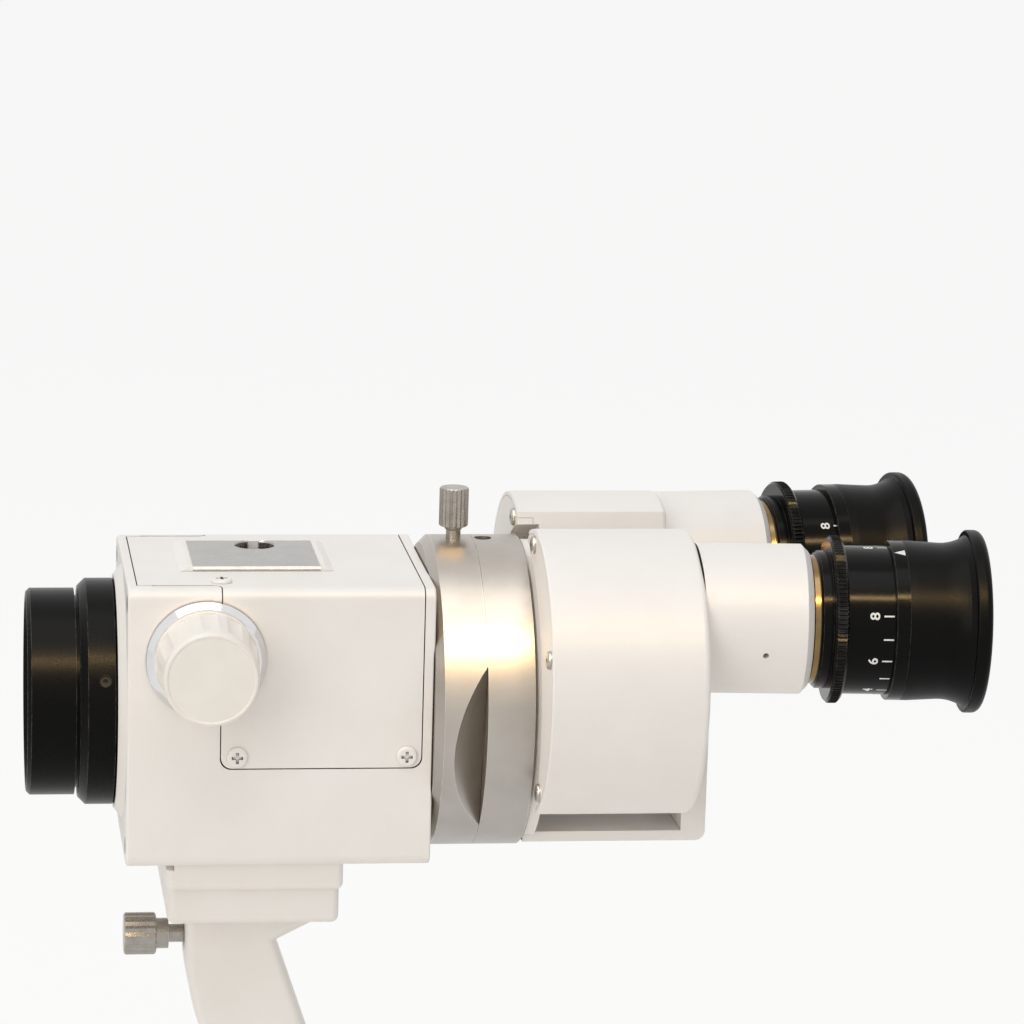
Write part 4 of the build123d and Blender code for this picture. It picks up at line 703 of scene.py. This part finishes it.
@dataclass
class Studio:
    """Pale floor, soft lamps and the camera at the photograph's viewing angle."""

    camera_mm: tuple[float, float, float] = (-27.154, -1110.107, 286.053)
    pitch_deg: float = 12.606
    yaw_deg: float = 6.593
    roll_deg: float = 1.334
    focal_px: float = 4219.97
    centre_px: tuple[float, float] = (400.0, 560.0)
    frame_px: float = 1024.0
    sensor_mm: float = 36.0
    floor_radius: float = 6.0
    floor_drop: float = 0.0002
    floor_white: float = 0.85
    floor_colour: str = "#f2f0ec"
    room_colour: str = "#f1f2f3"
    room_strength: float = 0.56
    lamp_target: tuple[float, float, float] = (0.02, 0.0, 0.16)

    def camera(self) -> bpy.types.Object:
        """Place the camera.

        Returns:
            The scene's camera.
        """
        pitch, yaw, roll = (math.radians(a) for a in (self.pitch_deg, self.yaw_deg, self.roll_deg))
        ahead = Vector((math.sin(yaw) * math.cos(pitch), math.cos(yaw) * math.cos(pitch), -math.sin(pitch)))
        level = Vector((math.cos(yaw), -math.sin(yaw), 0.0))
        upright = level.cross(ahead)
        right = math.cos(roll) * level + math.sin(roll) * upright
        up = math.cos(roll) * upright - math.sin(roll) * level
        data = bpy.data.cameras.new("camera")
        data.sensor_width = self.sensor_mm
        data.lens = self.focal_px / self.frame_px * self.sensor_mm
        data.shift_x = (self.frame_px / 2 - self.centre_px[0]) / self.frame_px
        data.shift_y = (self.centre_px[1] - self.frame_px / 2) / self.frame_px
        data.clip_start, data.clip_end = 0.05, 20.0
        camera = bpy.data.objects.new("camera", data)
        basis = Matrix((right, up, -ahead)).transposed().to_4x4()
        place = Vector(self.camera_mm) * MM + OPTICAL_ORIGIN
        camera.matrix_world = Matrix.Translation(place) @ basis
        bpy.context.collection.objects.link(camera)
        bpy.context.scene.camera = camera
        return camera

    def floor(self) -> bpy.types.Object:
        """Make the pale floor under the arm's foot.

        Returns:
            The floor, a wide round sheet.
        """
        mesh = bmesh.new()
        bmesh.ops.create_circle(mesh, cap_ends=True, cap_tris=False, segments=96, radius=self.floor_radius)
        data = bpy.data.meshes.new("studio_floor")
        mesh.to_mesh(data)
        mesh.free()
        floor = bpy.data.objects.new("studio_floor", data)
        floor.location.z = -self.floor_drop
        bpy.context.collection.objects.link(floor)
        material = bpy.data.materials.new("studio_paper")
        material.use_nodes = True
        tree = material.node_tree
        tree.nodes.clear()
        paper = add_node(tree, "ShaderNodeBsdfPrincipled", {
            "Base Color": linear(self.floor_colour), "Roughness": 0.8,
        })
        white = add_node(tree, "ShaderNodeEmission", {"Color": (1.0, 1.0, 1.0, 1.0), "Strength": 1.0})
        mixed = add_node(tree, "ShaderNodeMixShader", {
            0: self.shown_white(tree, self.floor_white), 1: paper.outputs["BSDF"],
            2: white.outputs["Emission"],
        })
        add_node(tree, "ShaderNodeOutputMaterial", {"Surface": mixed.outputs["Shader"]})
        data.materials.append(material)
        return floor

    def shown_white(self, tree: bpy.types.NodeTree, share: float) -> bpy.types.NodeSocket:
        """Share of plain white that the camera, metal and glass see.

        Args:
            tree: The node tree that gets the nodes.
            share: Share of white, from 0 to 1; the rest shows light and shadow.

        Returns:
            The socket of the share.
        """
        path = add_node(tree, "ShaderNodeLightPath")
        seen = add_node(tree, "ShaderNodeMath", {
            0: path.outputs["Is Camera Ray"], 1: path.outputs["Is Glossy Ray"],
        }, operation="MAXIMUM")
        seen = add_node(tree, "ShaderNodeMath", {
            0: seen.outputs[0], 1: path.outputs["Is Transmission Ray"],
        }, operation="MAXIMUM")
        shown = add_node(tree, "ShaderNodeMath", {0: seen.outputs[0], 1: share}, operation="MULTIPLY")
        return shown.outputs[0]

    def world(self) -> None:
        """Fill the room with soft, even light, seen as white."""
        world = bpy.data.worlds.new("studio_room")
        world.use_nodes = True
        tree = world.node_tree
        tree.nodes.clear()
        soft = add_node(tree, "ShaderNodeBackground", {
            "Color": linear(self.room_colour), "Strength": self.room_strength,
        })
        white = add_node(tree, "ShaderNodeBackground", {"Color": (1.0, 1.0, 1.0, 1.0), "Strength": 1.0})
        mixed = add_node(tree, "ShaderNodeMixShader", {
            0: self.shown_white(tree, 1.0), 1: soft.outputs["Background"], 2: white.outputs["Background"],
        })
        add_node(tree, "ShaderNodeOutputWorld", {"Surface": mixed.outputs["Shader"]})
        bpy.context.scene.world = world

    def lamp(self, name: str, place: tuple[float, float, float], size: tuple[float, float], watts: float,
             colour: str, on_matt: bool = True) -> None:
        """Hang one soft lamp that faces the object.

        Args:
            name: Name of the lamp.
            place: Position in metres.
            size: Width and height of its face in metres.
            watts: Its power.
            colour: Its colour as sRGB hex.
            on_matt: Whether it also lights matt surfaces; gloss shows it either way.
        """
        data = bpy.data.lights.new(name, "AREA")
        data.shape = "RECTANGLE"
        data.size, data.size_y = size
        data.energy = watts
        data.color = linear(colour)[:3]
        lamp = bpy.data.objects.new(name, data)
        lamp.visible_diffuse = on_matt
        lamp.location = place
        lamp.rotation_mode = "QUATERNION"
        lamp.rotation_quaternion = (Vector(self.lamp_target) - Vector(place)).to_track_quat("-Z", "Y")
        bpy.context.collection.objects.link(lamp)

    def build(self) -> None:
        """Set up floor, room, lamps and camera."""
        bpy.context.scene.view_settings.view_transform = "Standard"
        self.floor()
        self.world()
        self.lamp("softbox_above", place=(-0.2, -0.3, 1.5), size=(1.4, 1.2), watts=9.0, colour="#ffffff")
        self.lamp("softbox_front", place=(-0.9, -1.2, 0.7), size=(0.9, 0.9), watts=6.0, colour="#fffaf3")
        self.lamp("warm_strip", place=(0.0, -1.05, 1.27), size=(1.6, 0.13), watts=34.0, colour="#ffd594",
                  on_matt=False)
        self.camera()
        log.info("studio is ready")


def main() -> None:
    """Dress the frame, add the scales and set up the studio."""
    logging.basicConfig(level=logging.INFO, format="%(message)s")
    wardrobe = Wardrobe()
    for assembly in (Arm, Body, Objective, MagnificationChanger, Head):
        assembly(wardrobe).build()
    for side in Side:
        Housing(wardrobe, side=side).build()
        Eyepiece(wardrobe, side=side).build()
    DioptreScale(wardrobe, Side.LEFT, reading=9.0).build()
    DioptreScale(wardrobe, Side.RIGHT, reading=3.0, index_angle=203.0).build()
    Studio().build()


if __name__ == "__main__":
    main()
